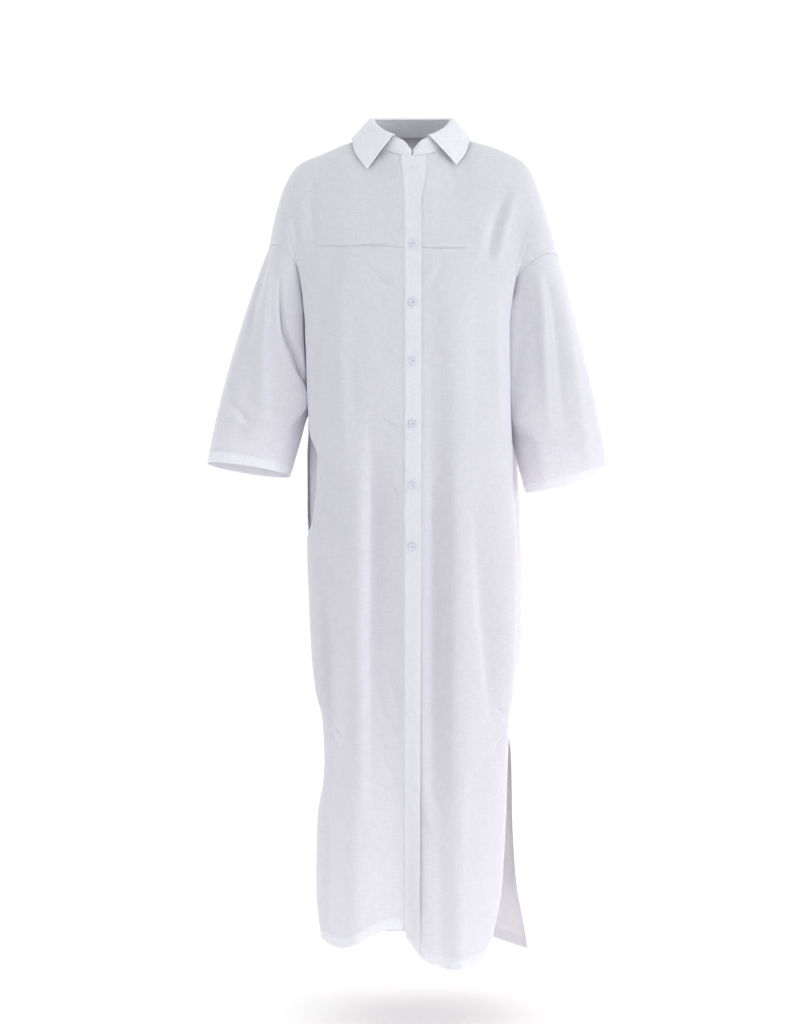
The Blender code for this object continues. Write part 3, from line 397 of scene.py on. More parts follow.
def side_wall(side, y, level):
    """Half width of the body's side at a depth, from the tables of its sections."""
    table, name = BODY_SIDES[side], SIDE_NAMES[side]
    front_seam = read(DEPTHS, name + "_front_seam", level)
    back_seam = -read(DEPTHS, name + "_back_seam", level)
    front = np.clip((-y - FRONT_EDGE_DEPTH) / (front_seam - FRONT_EDGE_DEPTH), 0, 1)
    back = np.clip((y - BACK_EDGE_DEPTH) / (back_seam - BACK_EDGE_DEPTH), 0, 1)
    seam = read(table, "back_seam", level)
    ahead = read(table, "front_edge", level)
    behind = read(table, "back_edge", level)
    front_x = ahead + (seam - ahead) * front * front * (3 - 2 * front)
    back_x = behind + (seam - behind) * back * back * (3 - 2 * back)
    return np.where(-y > front_seam, front_x, back_x)


def normals(surface, u, v, u_range=(0.0, 1.0), v_range=(0.0, 2.0)):
    """Unit normals from small steps each way, kept inside the surface's own range."""
    along_u = surface(np.minimum(u + STEP, u_range[1]), v) - surface(np.maximum(u - STEP, u_range[0]), v)
    along_v = surface(u, np.minimum(v + STEP, v_range[1])) - surface(u, np.maximum(v - STEP, v_range[0]))
    n = np.cross(along_u, along_v)
    return n / np.linalg.norm(n, axis=-1, keepdims=True)


def outward(n, points):
    """Normals turned as one to point away from the middle of the body."""
    row = points.shape[0] // 2
    column = points.shape[1] // 2
    away = points[row, column] * np.array([1.0, 1.0, 0.0])
    return n if float(np.dot(n[row, column], away)) > 0 else -n


def armhole(side, turn):
    """Point of the armhole: turn is 0 at the shoulder line, 1 at the underarm by the front, 2 back again."""
    front = body(FRONT, side, np.ones(turn.shape), np.clip(turn, 0, 1))
    back = body(BACK, side, np.ones(turn.shape), np.clip(2 - turn, 0, 1))
    return np.where((turn <= 1)[..., None], front, back)


def sleeve(side, turn, v):
    """Point of a sleeve: v is 0 at the armhole and 1 at the cuff, each line along it a cubic.

    On its inner side the sleeve is kept clear of the body, by a soft choice of the farther out of the
    cubic and the body's own half width with the clearance added.
    """
    turn, v = np.broadcast_arrays(np.mod(np.asarray(turn, dtype=float), 2.0), np.asarray(v, dtype=float))
    inward = (1 - np.cos(turn * math.pi)) / 2
    start = armhole(side, turn)
    cuff = {key: np.array(value) for key, value in CUFFS[side].items()}
    angle = turn * math.pi
    end = cuff["middle"] - cuff["across"] * np.cos(angle)[..., None] - cuff["back"] * np.sin(angle)[..., None]
    mirror = np.array([side, 1.0, 1.0])
    mix = inward[..., None]
    reach = {key: np.array(value) * mirror for key, value in SLEEVE_REACH.items()}
    outer = "outside" if side == RIGHT else "left"
    leave = reach[outer + "_leave"] * (1 - mix) + reach["inside_leave"] * mix
    arrive = reach[outer + "_reach"] * (1 - mix) + reach["inside_reach"] * mix
    points = bezier(start, start + leave, end - arrive, end, v)
    out, y, level = points[..., 0] * side, points[..., 1], points[..., 2]
    above = np.clip((level - CHEST_LEVEL) / SLEEVE_UPPER_RISE, 0, 1)
    nearest = side_wall(side, y, level) + SLEEVE_CLEARANCE + SLEEVE_UPPER_ROOM * above
    apart = 0.5 * (out + nearest + np.sqrt((out - nearest) ** 2 + SLEEVE_SOFTNESS ** 2))
    ease = np.clip(v * 10, 0, 1) * np.clip(2.5 * inward - 0.5, 0, 1)
    points[..., 0] = side * (out + (apart - out) * ease)
    return points


def neck_line(turn):
    """Neck seam at an angle from the centre front, positive towards the wearer's left."""
    side = np.where(turn < 0, RIGHT, LEFT)
    a = np.abs(turn)
    front = a <= math.pi / 2
    x = NECK_HALF_WIDTH * np.sin(a) * side
    y = np.where(front, -NECK_FRONT_DEPTH, -NECK_BACK_DEPTH) * np.cos(a)
    fall = np.maximum(np.cos(a), 0)
    z = np.where(front, -NECK_FRONT_DROP * fall ** NECK_CURVE, -NECK_BACK_RISE * np.cos(a))
    return stack(x, y, z)


def stand_height(turn):
    """Height of the collar stand: full round the neck, its front ends rounded down to a low V."""
    degrees = np.degrees(np.abs(turn))
    return smooth((0, 4, 9, 16, 28, 180), (0.0090, 0.0125, 0.0190, 0.0240, 0.0255, STAND_HEIGHT), degrees)


def stand(turn, rise):
    """Point of the stand: it rises from the neck seam and leans in towards the neck."""
    base = neck_line(turn)
    lean = STAND_LEAN * rise
    return base * np.stack([1 - lean, 1 - lean, np.ones(lean.shape)], axis=-1) + stack(
        0 * rise, 0 * rise, stand_height(turn) * rise + STAND_SEAT)


def leaf_fold(turn):
    """Fold of the collar at an angle from the centre front: along the top of the stand."""
    return stand(turn, np.ones(turn.shape))


def leaf(share, t):
    """Point of the collar leaf: share runs from -1 at the right tip over 0 at the back to 1 at the left tip.

    Across, t is 0 inside the fold and 1 at the outer edge: up over the fold in a small roll, then
    down in a shallow bow to the edge.
    """
    share, t = np.broadcast_arrays(np.asarray(share, dtype=float), np.asarray(t, dtype=float))
    out = 1 - np.abs(share)
    left = share >= 0
    start = np.where(left, math.radians(LEAF_START_TURN[LEFT]), math.radians(LEAF_START_TURN[RIGHT]))
    turn = (start + (math.pi - start) * out) * np.where(left, 1, -1)
    inner = leaf_fold(turn)
    edge = stack(*[np.where(left, read(LEAF, "left_edge_" + axis, out), read(LEAF, "right_edge_" + axis, out))
                   for axis in "xyz"])
    away = np.stack([np.sin(turn), -np.cos(turn), np.zeros(turn.shape)], axis=-1)
    up = np.array([0.0, 0.0, 1.0])

    def rolled(angle):
        aside = away * ROLL_RADIUS * (1 - np.cos(angle))
        return inner + up * ROLL_LIFT + aside + up * ROLL_RADIUS * ROLL_FLATNESS * np.sin(angle)

    over = rolled(np.clip(t / ROLL_SHARE, 0, 1)[..., None] * ROLL_ANGLE)
    foot = rolled(ROLL_ANGLE)
    b = np.clip((t - ROLL_SHARE) / (1 - ROLL_SHARE), 0, 1)[..., None]
    fallen = foot + (edge - foot) * b + away * LEAF_BOW * np.sin(b * math.pi)
    return np.where((t <= ROLL_SHARE)[..., None], over, fallen)


def pocket_bag(run, b):
    """Point of the pocket bag: run follows the columns of its table, b runs from its top to its foot.

    The first layer hangs inside the front from the front's edge at the mouth. The second comes back
    along it, and its last stretch crosses the mouth to the inside of the back's edge.
    """
    run, b = np.broadcast_arrays(np.asarray(run, dtype=float), np.asarray(b, dtype=float))
    u = read(POCKET, "share", run)
    deep = (1 - u) / (1 - min(POCKET["share"]))
    foot = POCKET_BOTTOM - POCKET_DROP * read(POCKET_FOOT, "drop", deep)
    v = row_at(POCKET_TOP + (foot - POCKET_TOP) * b)

    def front(s, t):
        return body(FRONT, RIGHT, s, t)

    def back(s, t):
        return body(BACK, RIGHT, s, t)

    hung = front(u, v)
    inside = read(POCKET, "inward", run)
    inside = inside + read(POCKET, "apart", run) * read(POCKET_CLOSING, "open", b)
    hung = hung - outward(normals(front, u, v), hung) * inside[..., None]
    crossing = np.clip(run - POCKET["run"][-2], 0, 1)[..., None]
    edge = back(np.full(u.shape, POCKET_BACK_SHARE), v)
    edge = edge - outward(normals(back, np.full(u.shape, POCKET_BACK_SHARE), v), edge) * POCKET["inward"][0]
    return hung * (1 - crossing) + edge * crossing


# Finer cloth.

# How close the sleeves lie against the body, and the levels, turns and rows over which they come to it.
NEST_GAP = 0.002
NEST_LEVELS = {RIGHT: (-0.468, -0.425), LEFT: (-0.492, -0.45)}
NEST_TURNS, NEST_TURN_ENDS = (0.56, 0.76), (1.02, 1.25)
NEST_ROWS = (0.02, 0.14)
# How far the turn below the neck corner is softened across, over which columns and rows, and its sampling.
NECK_SOFTNESS = 0.075
SOFT_SHARE = 0.1
SOFT_ROWS, SOFT_ROW_ENDS = (0.0, 0.12), (0.85, 1.0)
SOFT_OFFSETS = (-1.0, -0.67, -0.33, 0.0, 0.33, 0.67, 1.0)
# Fine crumpling: how far its field is warped, the cells of its octaves and patches, and the ridges' heights.
WARP, WARP_CELL = 0.012, 0.05
COARSE_CELL, FINER_CELL, PATCH_CELL = 0.034, 0.015, 0.11
COARSE_HEIGHT, FINER_HEIGHT = 0.0007, 0.0003
RIDGE_NARROWNESS = 2.2
LATTICE_SIZE = 128
# Which shares of a place say where outwards is: away from the dress's upright axis, or from its middle plane.
FROM_AXIS = (1.0, 1.0, 0.0)
FROM_MIDDLE_PLANE = (0.0, 1.0, 0.0)


def bell(distance, half_width):
    """Height of a bell curve: 1 at the middle and 0.37 at the half width."""
    return np.exp(-(distance / half_width) ** 2)


def ease(a, b, x):
    """0 below a, 1 above b, and the curve 3t^2 - 2t^3 between them."""
    t = np.clip((x - a) / (b - a), 0, 1)
    return t * t * (3 - 2 * t)


def lattice(x, z, cell, seed):
    """Smooth field between -1 and 1: random values on a square lattice, blended by the curve of ease."""
    values = np.random.default_rng(seed).uniform(-1, 1, (LATTICE_SIZE, LATTICE_SIZE))
    across, down = x / cell, z / cell
    i, j = np.floor(across).astype(int), np.floor(down).astype(int)
    s, t = across - i, down - j
    s, t = s * s * (3 - 2 * s), t * t * (3 - 2 * t)
    i, j, k, m = (np.mod(number, LATTICE_SIZE) for number in (i, j, i + 1, j + 1))
    return ((values[i, j] * (1 - s) + values[k, j] * s) * (1 - t)
            + (values[i, m] * (1 - s) + values[k, m] * s) * t)


def crumple(x, z, seed):
    """Fine crumpling: ridges where a warped random field passes zero, in a coarse and a finer octave."""
    warp = WARP * lattice(x, z, WARP_CELL, seed + 1)
    coarse = lattice(x + warp, 0.7 * z - warp, COARSE_CELL, seed + 2)
    finer = lattice(x - warp, 0.8 * z + 2 * warp, FINER_CELL, seed + 3)
    coarse = 1 - np.sqrt(coarse ** 2 + 0.004) * RIDGE_NARROWNESS
    finer = 1 - np.sqrt(finer ** 2 + 0.006) * RIDGE_NARROWNESS
    patch = 0.5 + 0.5 * lattice(x, z, PATCH_CELL, seed + 4)
    return patch * (COARSE_HEIGHT * np.maximum(coarse, 0) + FINER_HEIGHT * np.maximum(finer, 0))


def fall(x, z, row):
    """A long fold: a bell across, centred on a curve down the cloth, its width and height eased along it.

    A fold that leans is that many times as wide on its far side, so one flank is steep and one is long.
    """
    levels, places, half_widths, heights, *lean = row
    across = x - smooth(levels, places, z)
    wide = smooth(levels, half_widths, z) * (np.where(across > 0, lean[0], 1.0) if lean else 1.0)
    return smooth(levels, heights, z) * bell(across, wide)


def drag(x, z, row):
    """A short fold: a bell across a shallow arc from start to end, tapered to nothing at both ends."""
    (ax, az), (bx, bz), bow, half_width, height = row
    dx, dz = bx - ax, bz - az
    length = math.hypot(dx, dz)
    t = ((x - ax) * dx + (z - az) * dz) / length ** 2
    across = ((x - ax) * dz - (z - az) * dx) / length - 4 * bow * t * (1 - t)
    taper = np.sin(math.pi * np.clip(t, 0, 1)) ** 0.7
    return height * bell(across, half_width) * taper


def either_side(panel, across, u, v, hem=None):
    """Point of a panel on the wearer's right where across is negative, and on the left elsewhere."""
    on_right = (across < 0)[..., None]
    return np.where(on_right, body(panel, RIGHT, u, v, hem), body(panel, LEFT, u, v, hem))


def panel_surface(panel, sides=None):
    """Surface of a front or of the back, with the turn below the neck corner drawn softer than the solid's.

    Each point is the mean of points spread evenly to both sides of it along its row.
    """
    def at(u, v):
        share = np.abs(u)
        reach = NECK_SOFTNESS * bell(share - NECK_SHARE, SOFT_SHARE)
        reach = reach * ease(*SOFT_ROWS, v) * (1 - ease(*SOFT_ROW_ENDS, v))
        total = 0.0
        for offset in SOFT_OFFSETS:
            near = np.clip(share + reach * offset, 0, 1)
            if sides is None:
                total = total + either_side(panel, u, near, v)
            else:
                total = total + body(panel, sides, near, v)
        return total / len(SOFT_OFFSETS)
    return at


def sleeve_surface(side):
    """Surface of a sleeve whose inner front side is drawn over to the body and lies against it."""
    low, high = NEST_LEVELS[side]

    def at(turn, v):
        points = sleeve(side, turn, v)
        around = np.mod(turn, 2.0)
        room = points[..., 0] * side - side_wall(side, points[..., 1], points[..., 2]) - NEST_GAP
        drawn = ease(*NEST_TURNS, around) * (1 - ease(*NEST_TURN_ENDS, around)) * ease(*NEST_ROWS, v)
        drawn = drawn * ease(low, high, points[..., 2])
        points[..., 0] -= side * np.maximum(room, 0) * drawn
        return points
    return at


def normals_of(points, ring=False):
    """Unit normals of a grid of points, from the differences between neighbours along and across."""
    n = np.cross(slopes(points, 1, ring), slopes(points, 0))
    return n / np.maximum(np.linalg.norm(n, axis=-1, keepdims=True), 1e-12)


def slopes(points, axis, ring=False):
    """Differences between neighbours along an axis of a grid; a ring's last column runs on to its first."""
    if not ring:
        return np.gradient(points, axis=axis)
    wide = np.concatenate([points[:, -1:], points, points[:, :1]], axis=1)
    return np.gradient(wide, axis=1)[:, 1:-1]


def facing_out(n, points, ring=False, away=FROM_AXIS):
    """Normals turned as one to point out of a ring, or along the shares of each place that away keeps."""
    out = points - points.mean(axis=1, keepdims=True) if ring else points * np.array(away)
    return n if float(np.sum(n * out)) > 0 else -n


def raised(surface, relief, u, v, ring=False, away=FROM_AXIS, passes=0):
    """Points of the finished cloth: the surface moved along its outward normal by the relief there.

    Each pass first draws the inner columns a little closer to the mean of their neighbours. The relief
    gets the metres for one unit of u and of v, too.
    """
    p = surface(u, v)
    for _ in range(passes):
        p[:, 1:-1] = (p[:, :-2] + 2 * p[:, 1:-1] + p[:, 2:]) / 4
    n = facing_out(normals_of(p, ring), p, ring, away)
    step_u = np.full(u.shape, u[0, 1] - u[0, 0]) if ring else np.gradient(u, axis=1)
    width = lengths(slopes(p, 1, ring)) / np.abs(step_u)
    height = lengths(slopes(p, 0)) / np.abs(np.gradient(v, axis=0))
    return p + n * relief(u, v, p, width, height)[..., None], n


# Meshes.

# Edges that bend by more degrees than these are drawn sharp.
SHELL_SHARP_ANGLE = 55
BUTTON_SHARP_ANGLE = 50
# How much a front or back lengthens the weave where it turns back, and over which stretch from the middle.
TURN_BACK_SHARE = 0.6
TURN_BACK_FROM, TURN_BACK_TO = 0.02, 0.1


def cells(rows, columns):
    """Row and column of each cell of a grid, one after another."""
    return np.divmod(np.arange(rows * columns), columns)


def grid_corners(rows, columns, ring):
    """Row and column of the four corners of each face of a grid; a ring's last column runs to its first."""
    spans = columns if ring else columns - 1
    i, j = cells(rows - 1, spans)
    return np.stack([i, i, i + 1, i + 1], axis=1), np.stack([j, j + 1, j + 1, j], axis=1)


def rim_corners(rows, columns, ring):
    """Row and column along the open edges of a grid, as the pairs of corners that a rim joins."""
    spans = columns if ring else columns - 1
    j = np.arange(spans)
    top = (0 * j, j, 0 * j, j + 1)
    foot = (0 * j + rows - 1, j + 1, 0 * j + rows - 1, j)
    sides = [top, foot]
    if not ring:
        i = np.arange(rows - 1)
        sides.append((i + 1, 0 * i, i, 0 * i))
        sides.append((i, 0 * i + columns - 1, i + 1, 0 * i + columns - 1))
    return [np.concatenate(part) for part in zip(*sides)]


def new_mesh(name, vertices, corners, uv, layers, made_of):
    """Mesh object from whole arrays: vertices, four corners a face, a UV map in metres and a layer count."""
    mesh = bpy.data.meshes.new(name)
    mesh.vertices.add(len(vertices))
    mesh.vertices.foreach_set("co", np.ascontiguousarray(vertices, dtype=np.float32).ravel())
    mesh.loops.add(corners.size)
    mesh.loops.foreach_set("vertex_index", corners.ravel().astype(np.int32))
    mesh.polygons.add(len(corners))
    mesh.polygons.foreach_set("loop_start", np.arange(len(corners), dtype=np.int32) * corners.shape[1])
    mesh.update(calc_edges=True)
    if uv is not None:
        cloth_uv = mesh.uv_layers.new(name="cloth")
        cloth_uv.data.foreach_set("uv", np.ascontiguousarray(uv, dtype=np.float32).ravel())
    if layers is not None:
        held = mesh.attributes.new("layers", "FLOAT", "POINT")
        held.data.foreach_set("value", np.ascontiguousarray(layers, dtype=np.float32).ravel())
    return placed(mesh, made_of, sharp=SHELL_SHARP_ANGLE)


def mesh_of(name, vertices, faces, made_of, sharp=None):
    """Mesh object from vertices and a list of faces with any number of corners."""
    mesh = bpy.data.meshes.new(name)
    mesh.from_pydata(vertices, [], faces)
    return placed(mesh, made_of, sharp)


def placed(mesh, made_of, sharp=None):
    """Object of a mesh, smooth but for edges sharper than an angle in degrees, linked to the scene."""
    mesh.validate()
    mesh.shade_smooth()
    if sharp:
        mesh.set_sharp_from_angle(angle=math.radians(sharp))
    mesh.materials.append(made_of)
    made = bpy.data.objects.new(mesh.name, mesh)
    bpy.context.scene.collection.objects.link(made)
    return made


def grain(points):
    """UV map of a front or of the back: its threads run level and upright, as in the cut cloth.

    Across, it is the distance from the middle plane, lengthened where the cloth turns back at the sides.
    """
    x, y, z = points[..., 0], points[..., 1], points[..., 2]
    turned_back = np.max(np.abs(y), axis=1, keepdims=True) - np.abs(y)
    share = TURN_BACK_SHARE * ease(TURN_BACK_FROM, TURN_BACK_TO, np.abs(x))
    return np.stack([x + np.sign(x) * turned_back * share, -z], axis=-1)


def shell(name, points, thickness, made_of, layers=0.0, ring=False, away=FROM_AXIS, lay=None):
    """Thin closed cloth: the grid as its outer face, the grid moved inwards by the thickness, and a rim.

    The UV map is the length of thread across the grid and down to its foot, so a weave keeps its scale,
    unless the grid's own lay is given.
    """
    rows, columns = points.shape[:2]
    n = facing_out(normals_of(points, ring), points, ring, away)
    inner = points - n * np.broadcast_to(thickness, (rows, columns))[..., None]
    vertices = np.concatenate([points.reshape(-1, 3), inner.reshape(-1, 3)])
    count = rows * columns
    closed = np.concatenate([points, points[:, :1]], axis=1) if ring else points
    steps_across = lengths(np.diff(closed, axis=1))
    steps_down = lengths(np.diff(closed, axis=0))
    run = np.concatenate([np.zeros((rows, 1)), np.cumsum(steps_across, axis=1)], axis=1)
    run = run - run[:, run.shape[1] // 2][:, None]
    drop = np.concatenate([np.zeros((1, closed.shape[1])), np.cumsum(steps_down, axis=0)], axis=0)
    drop = drop - drop[-1:]
    if lay is not None:
        run, drop = lay[..., 0], lay[..., 1]
    ci, cj = grid_corners(rows, columns, ring)
    first = ci * columns + cj % columns
    outer_uv = np.stack([run[ci, cj], drop[ci, cj]], axis=-1)
    ai, aj, bi, bj = rim_corners(rows, columns, ring)
    a, b = ai * columns + aj % columns, bi * columns + bj % columns
    rim = np.stack([b, a, a + count, b + count], axis=1)
    rim_uv = np.stack([run[bi, bj], drop[bi, bj], run[ai, aj], drop[ai, aj]], axis=-1).reshape(-1, 2, 2)
    rim_uv = np.concatenate([rim_uv, rim_uv[:, ::-1]], axis=1)
    faces = np.concatenate([first, first[:, ::-1] + count, rim])
    uv = np.concatenate([outer_uv, outer_uv[:, ::-1], rim_uv])
    e, f = points[0, 1] - points[0, 0], points[1, 0] - points[0, 0]
    if float(np.dot(np.cross(f, e), n[0, 0])) < 0:
        faces, uv = faces[:, ::-1], uv[:, ::-1]
    flags = np.broadcast_to(layers, (rows, columns)).ravel()
    return new_mesh(name, vertices, faces, uv.reshape(-1, 2), np.concatenate([flags, flags]), made_of)


# Stitches.


STITCH_SHARES = np.array([0.0, 0.16, 0.84, 1.0])
STITCH_SWELL = np.array([0.45, 1.0, 1.0, 0.45])
STITCH_LIFT = np.array([-0.6, 0.55, 0.55, -0.6])
STITCH_SIDES = 4


def stitches(points, normals, pitch, length, radius):
    """Vertices of the stitches along a line: short round threads that dive into the cloth at both ends."""
    steps = lengths(np.diff(points, axis=0))
    run = np.concatenate([[0.0], np.cumsum(steps)])
    count = max(int((run[-1] - length) / pitch) + 1, 1)
    start = np.arange(count) * pitch + (run[-1] - (count - 1) * pitch - length) / 2
    at = start[:, None] + STITCH_SHARES[None, :] * length

    def along(values):
        return np.stack([np.interp(at, run, values[:, k]) for k in range(3)], axis=-1)

    centre, up = along(points), along(normals)
    ahead = centre[:, -1:] - centre[:, :1]
    ahead = ahead / np.maximum(np.linalg.norm(ahead, axis=-1, keepdims=True), 1e-9)
    up = up / np.maximum(np.linalg.norm(up, axis=-1, keepdims=True), 1e-9)
    aside = np.cross(up, ahead)
    angle = np.arange(STITCH_SIDES) * 2 * math.pi / STITCH_SIDES
    swell = (STITCH_SWELL * radius)[None, :, None, None]
    ring = (aside[:, :, None, :] * np.cos(angle)[None, None, :, None]
            + up[:, :, None, :] * np.sin(angle)[None, None, :, None]) * swell
    return centre[:, :, None, :] + up[:, :, None, :] * (STITCH_LIFT * radius)[None, :, None, None] + ring


def thread(name, runs, made_of, pitch=0.0030, length=0.0024, radius=0.00028):
    """One object for many lines of stitches, each stitch a tube of four rings.

    Its near end is closed flat. Its far end, under the face of the cloth, is closed to the first corner
    of the next stitch, and the last one stays open.
    """
    made = [stitches(points, n, pitch, length, radius).reshape(-1, 3)
            for points, n in runs if len(points) > 1]
    vertices = np.concatenate(made)
    rings, sides = len(STITCH_SHARES), STITCH_SIDES
    count = len(vertices) // (rings * sides)
    i, j = cells(rings - 1, sides)
    k = (j + 1) % sides
    quads = np.stack([i * sides + j, (i + 1) * sides + j, (i + 1) * sides + k, i * sides + k], axis=1)
    offsets = (np.arange(count) * rings * sides)[:, None, None]
    faces = (quads[None] + offsets).reshape(-1, 4)
    caps = []
    for ring, order in ((0, np.arange(sides)), (rings - 1, np.arange(sides, 0, -1))):
        fan = np.array([[order[0], order[m], order[m + 1]] for m in range(1, sides - 1)]) + ring * sides
        caps.append((fan[None] + offsets).reshape(-1, 3))
    return mesh_of(name, vertices, faces.tolist() + np.concatenate(caps).tolist(), made_of)


# Folds of the fronts, the back and the sleeves.

# Long folds down each front: levels, places to the wearer's left, half widths and heights, and for a
# fold with one long flank how many times as wide it is on the wearer's left.
FRONT_FALLS = (
    ((-0.14, -0.2, -0.31, -0.39, -0.5, -0.62), (-0.125, -0.13, -0.141, -0.149, -0.153, -0.153),
     (0.008, 0.009, 0.01, 0.01, 0.009, 0.009), (0.0, -0.0018, -0.0036, -0.0038, -0.0022, 0.0), 1.8),
    ((-0.19, -0.26, -0.36, -0.46, -0.56), (-0.112, -0.113, -0.1125, -0.108, -0.1),
     (0.018, 0.019, 0.02, 0.02, 0.02), (0.0, 0.003, 0.0048, 0.0044, 0.0), 0.5),
    ((-0.2, -0.28, -0.4, -0.5), (-0.092, -0.091, -0.09, -0.086),
     (0.008, 0.009, 0.01, 0.01), (0.0, -0.0016, -0.0022, 0.0), 1.8),
    ((-0.38, -0.48, -0.6, -0.8, -0.96, -1.12), (-0.066, -0.065, -0.064, -0.064, -0.0635, -0.062),
     (0.009, 0.009, 0.009, 0.01, 0.011, 0.012), (0.0, -0.005, -0.011, -0.0122, -0.007, 0.0), 3.2),
    ((-0.44, -0.56, -0.72, -0.92, -1.1), (-0.088, -0.085, -0.084, -0.084, -0.082),
     (0.026, 0.027, 0.028, 0.028, 0.026), (0.0, 0.003, 0.004, 0.0032, 0.0), 0.45),
    ((-0.64, -0.74, -0.84, -0.98, -1.1), (-0.144, -0.143, -0.141, -0.138, -0.137),
     (0.009, 0.009, 0.01, 0.01, 0.01), (0.0, -0.0044, -0.008, -0.006, 0.0), 2.8),
    ((-1.06, -1.15, -1.24, -1.33), (-0.137, -0.139, -0.141, -0.142),
     (0.007, 0.008, 0.009, 0.01), (0.0, -0.005, -0.0086, -0.0084), 2.6),
    ((-1.1, -1.18, -1.26, -1.33), (-0.094, -0.092, -0.09, -0.09),
     (0.016, 0.018, 0.02, 0.02), (0.0, 0.0018, 0.0034, 0.004), 0.6),
    ((-1.12, -1.2, -1.27, -1.33), (-0.052, -0.052, -0.052, -0.052),
     (0.01, 0.012, 0.014, 0.014), (0.0, -0.0018, -0.003, -0.0036), 1.6),
    ((-0.22, -0.3, -0.4, -0.5, -0.74, -0.98, -1.1), (0.03, 0.03, 0.031, 0.032, 0.033, 0.033, 0.034),
     (0.008, 0.008, 0.009, 0.009, 0.01, 0.01, 0.01),
     (0.0, -0.0014, -0.0026, -0.0048, -0.0072, -0.0056, 0.0), 2.2),
    ((-0.22, -0.3, -0.44, -0.6, -0.8, -0.98, -1.14), (0.058, 0.062, 0.066, 0.068, 0.068, 0.068, 0.068),
     (0.012, 0.013, 0.013, 0.013, 0.014, 0.014, 0.014),
     (0.0, 0.0026, 0.004, 0.0044, 0.0044, 0.003, 0.0), 1.7),
    ((-0.22, -0.3, -0.4, -0.5), (0.097, 0.1, 0.102, 0.102),
     (0.01, 0.011, 0.011, 0.01), (0.0, -0.0024, -0.003, 0.0), 2.0),
    ((-0.24, -0.31, -0.38, -0.46), (0.134, 0.137, 0.139, 0.14),
     (0.009, 0.01, 0.01, 0.009), (0.0, 0.0028, 0.0032, 0.0), 0.7),
    ((-0.56, -0.66, -0.76, -0.86, -0.95), (0.098, 0.106, 0.116, 0.124, 0.13),
     (0.009, 0.011, 0.011, 0.01, 0.008), (0.0, -0.0032, -0.0056, -0.0044, 0.0), 2.0),
    ((-0.98, -1.08, -1.2, -1.33), (0.1, 0.098, 0.096, 0.096),
     (0.01, 0.012, 0.014, 0.014), (0.0, -0.002, -0.0034, -0.004), 1.9),
    ((-1.08, -1.16, -1.25, -1.33), (0.04, 0.044, 0.048, 0.05),
     (0.01, 0.012, 0.014, 0.014), (0.0, -0.0024, -0.004, -0.005), 1.6),
)
# Short drags and creases: start, end, bow, half width and height, all in the plane of the front.
FRONT_DRAGS = (
    ((0.155, -0.08), (0.119, -0.2), 0.004, 0.0085, -0.0074),
    ((0.166, -0.085), (0.136, -0.2), 0.004, 0.008, 0.0042),
    ((0.112, -0.11), (0.104, -0.19), -0.004, 0.012, 0.0022),
    ((-0.16, -0.06), (-0.15, -0.17), 0.004, 0.01, -0.0035),
    ((-0.178, -0.085), (-0.166, -0.19), 0.003, 0.008, 0.0032),
    ((-0.075, -0.2), (-0.015, -0.245), 0.004, 0.006, -0.0019),
    ((-0.052, -0.195), (-0.013, -0.222), 0.003, 0.005, 0.0014),
    ((0.05, -0.186), (0.02, -0.25), -0.003, 0.006, -0.0019),
    ((0.036, -0.2), (0.016, -0.232), -0.002, 0.0045, 0.0013),
    ((-0.048, -0.3), (-0.014, -0.33), 0.003, 0.0045, -0.0013),
    ((-0.04, -0.322), (-0.014, -0.348), 0.002, 0.004, 0.0013),
    ((0.044, -0.318), (0.018, -0.352), -0.003, 0.0045, -0.0013),
    ((-0.052, -0.44), (-0.014, -0.462), 0.002, 0.0045, -0.0016),
    ((-0.046, -0.455), (-0.014, -0.482), 0.003, 0.0042, 0.0014),
    ((0.05, -0.52), (0.02, -0.56), -0.003, 0.005, -0.0021),
    ((0.046, -0.545), (0.02, -0.59), -0.002, 0.0048, 0.0018),
    ((0.04, -0.57), (0.019, -0.62), -0.002, 0.0045, -0.0016),
    ((-0.038, -0.54), (-0.014, -0.575), 0.002, 0.0045, -0.0018),
    ((-0.036, -0.64), (-0.014, -0.665), 0.002, 0.0045, -0.0014),
    ((-0.052, -0.88), (-0.018, -0.985), 0.004, 0.005, -0.0029),
    ((-0.044, -0.9), (-0.016, -0.998), 0.004, 0.0045, 0.0024),
    ((-0.036, -0.85), (-0.015, -0.925), 0.003, 0.0045, -0.0021),
    ((-0.05, -0.96), (-0.022, -1.05), 0.004, 0.005, -0.0019),
    ((0.024, -1.02), (0.056, -1.1), 0.005, 0.005, -0.0018),
    ((0.022, -1.07), (0.05, -1.15), 0.005, 0.005, 0.0016),
    ((-0.02, -1.12), (-0.06, -1.19), 0.005, 0.0055, -0.0016),
    ((-0.15, -0.946), (-0.118, -0.958), 0.002, 0.0032, -0.0026),
    ((-0.15, -0.952), (-0.122, -0.985), 0.002, 0.0034, -0.0026),
    ((-0.15, -0.94), (-0.124, -0.918), 0.002, 0.0034, -0.0022),
    ((-0.15, -0.949), (-0.112, -0.972), -0.002, 0.003, 0.0019),
    ((0.16, -0.948), (0.128, -0.96), 0.002, 0.0032, -0.0026),
    ((0.16, -0.953), (0.132, -0.992), 0.002, 0.0034, -0.0029),
    ((0.16, -0.942), (0.134, -0.912), 0.002, 0.0034, -0.0022),
    ((0.16, -0.95), (0.124, -0.976), -0.002, 0.003, 0.0019),
)
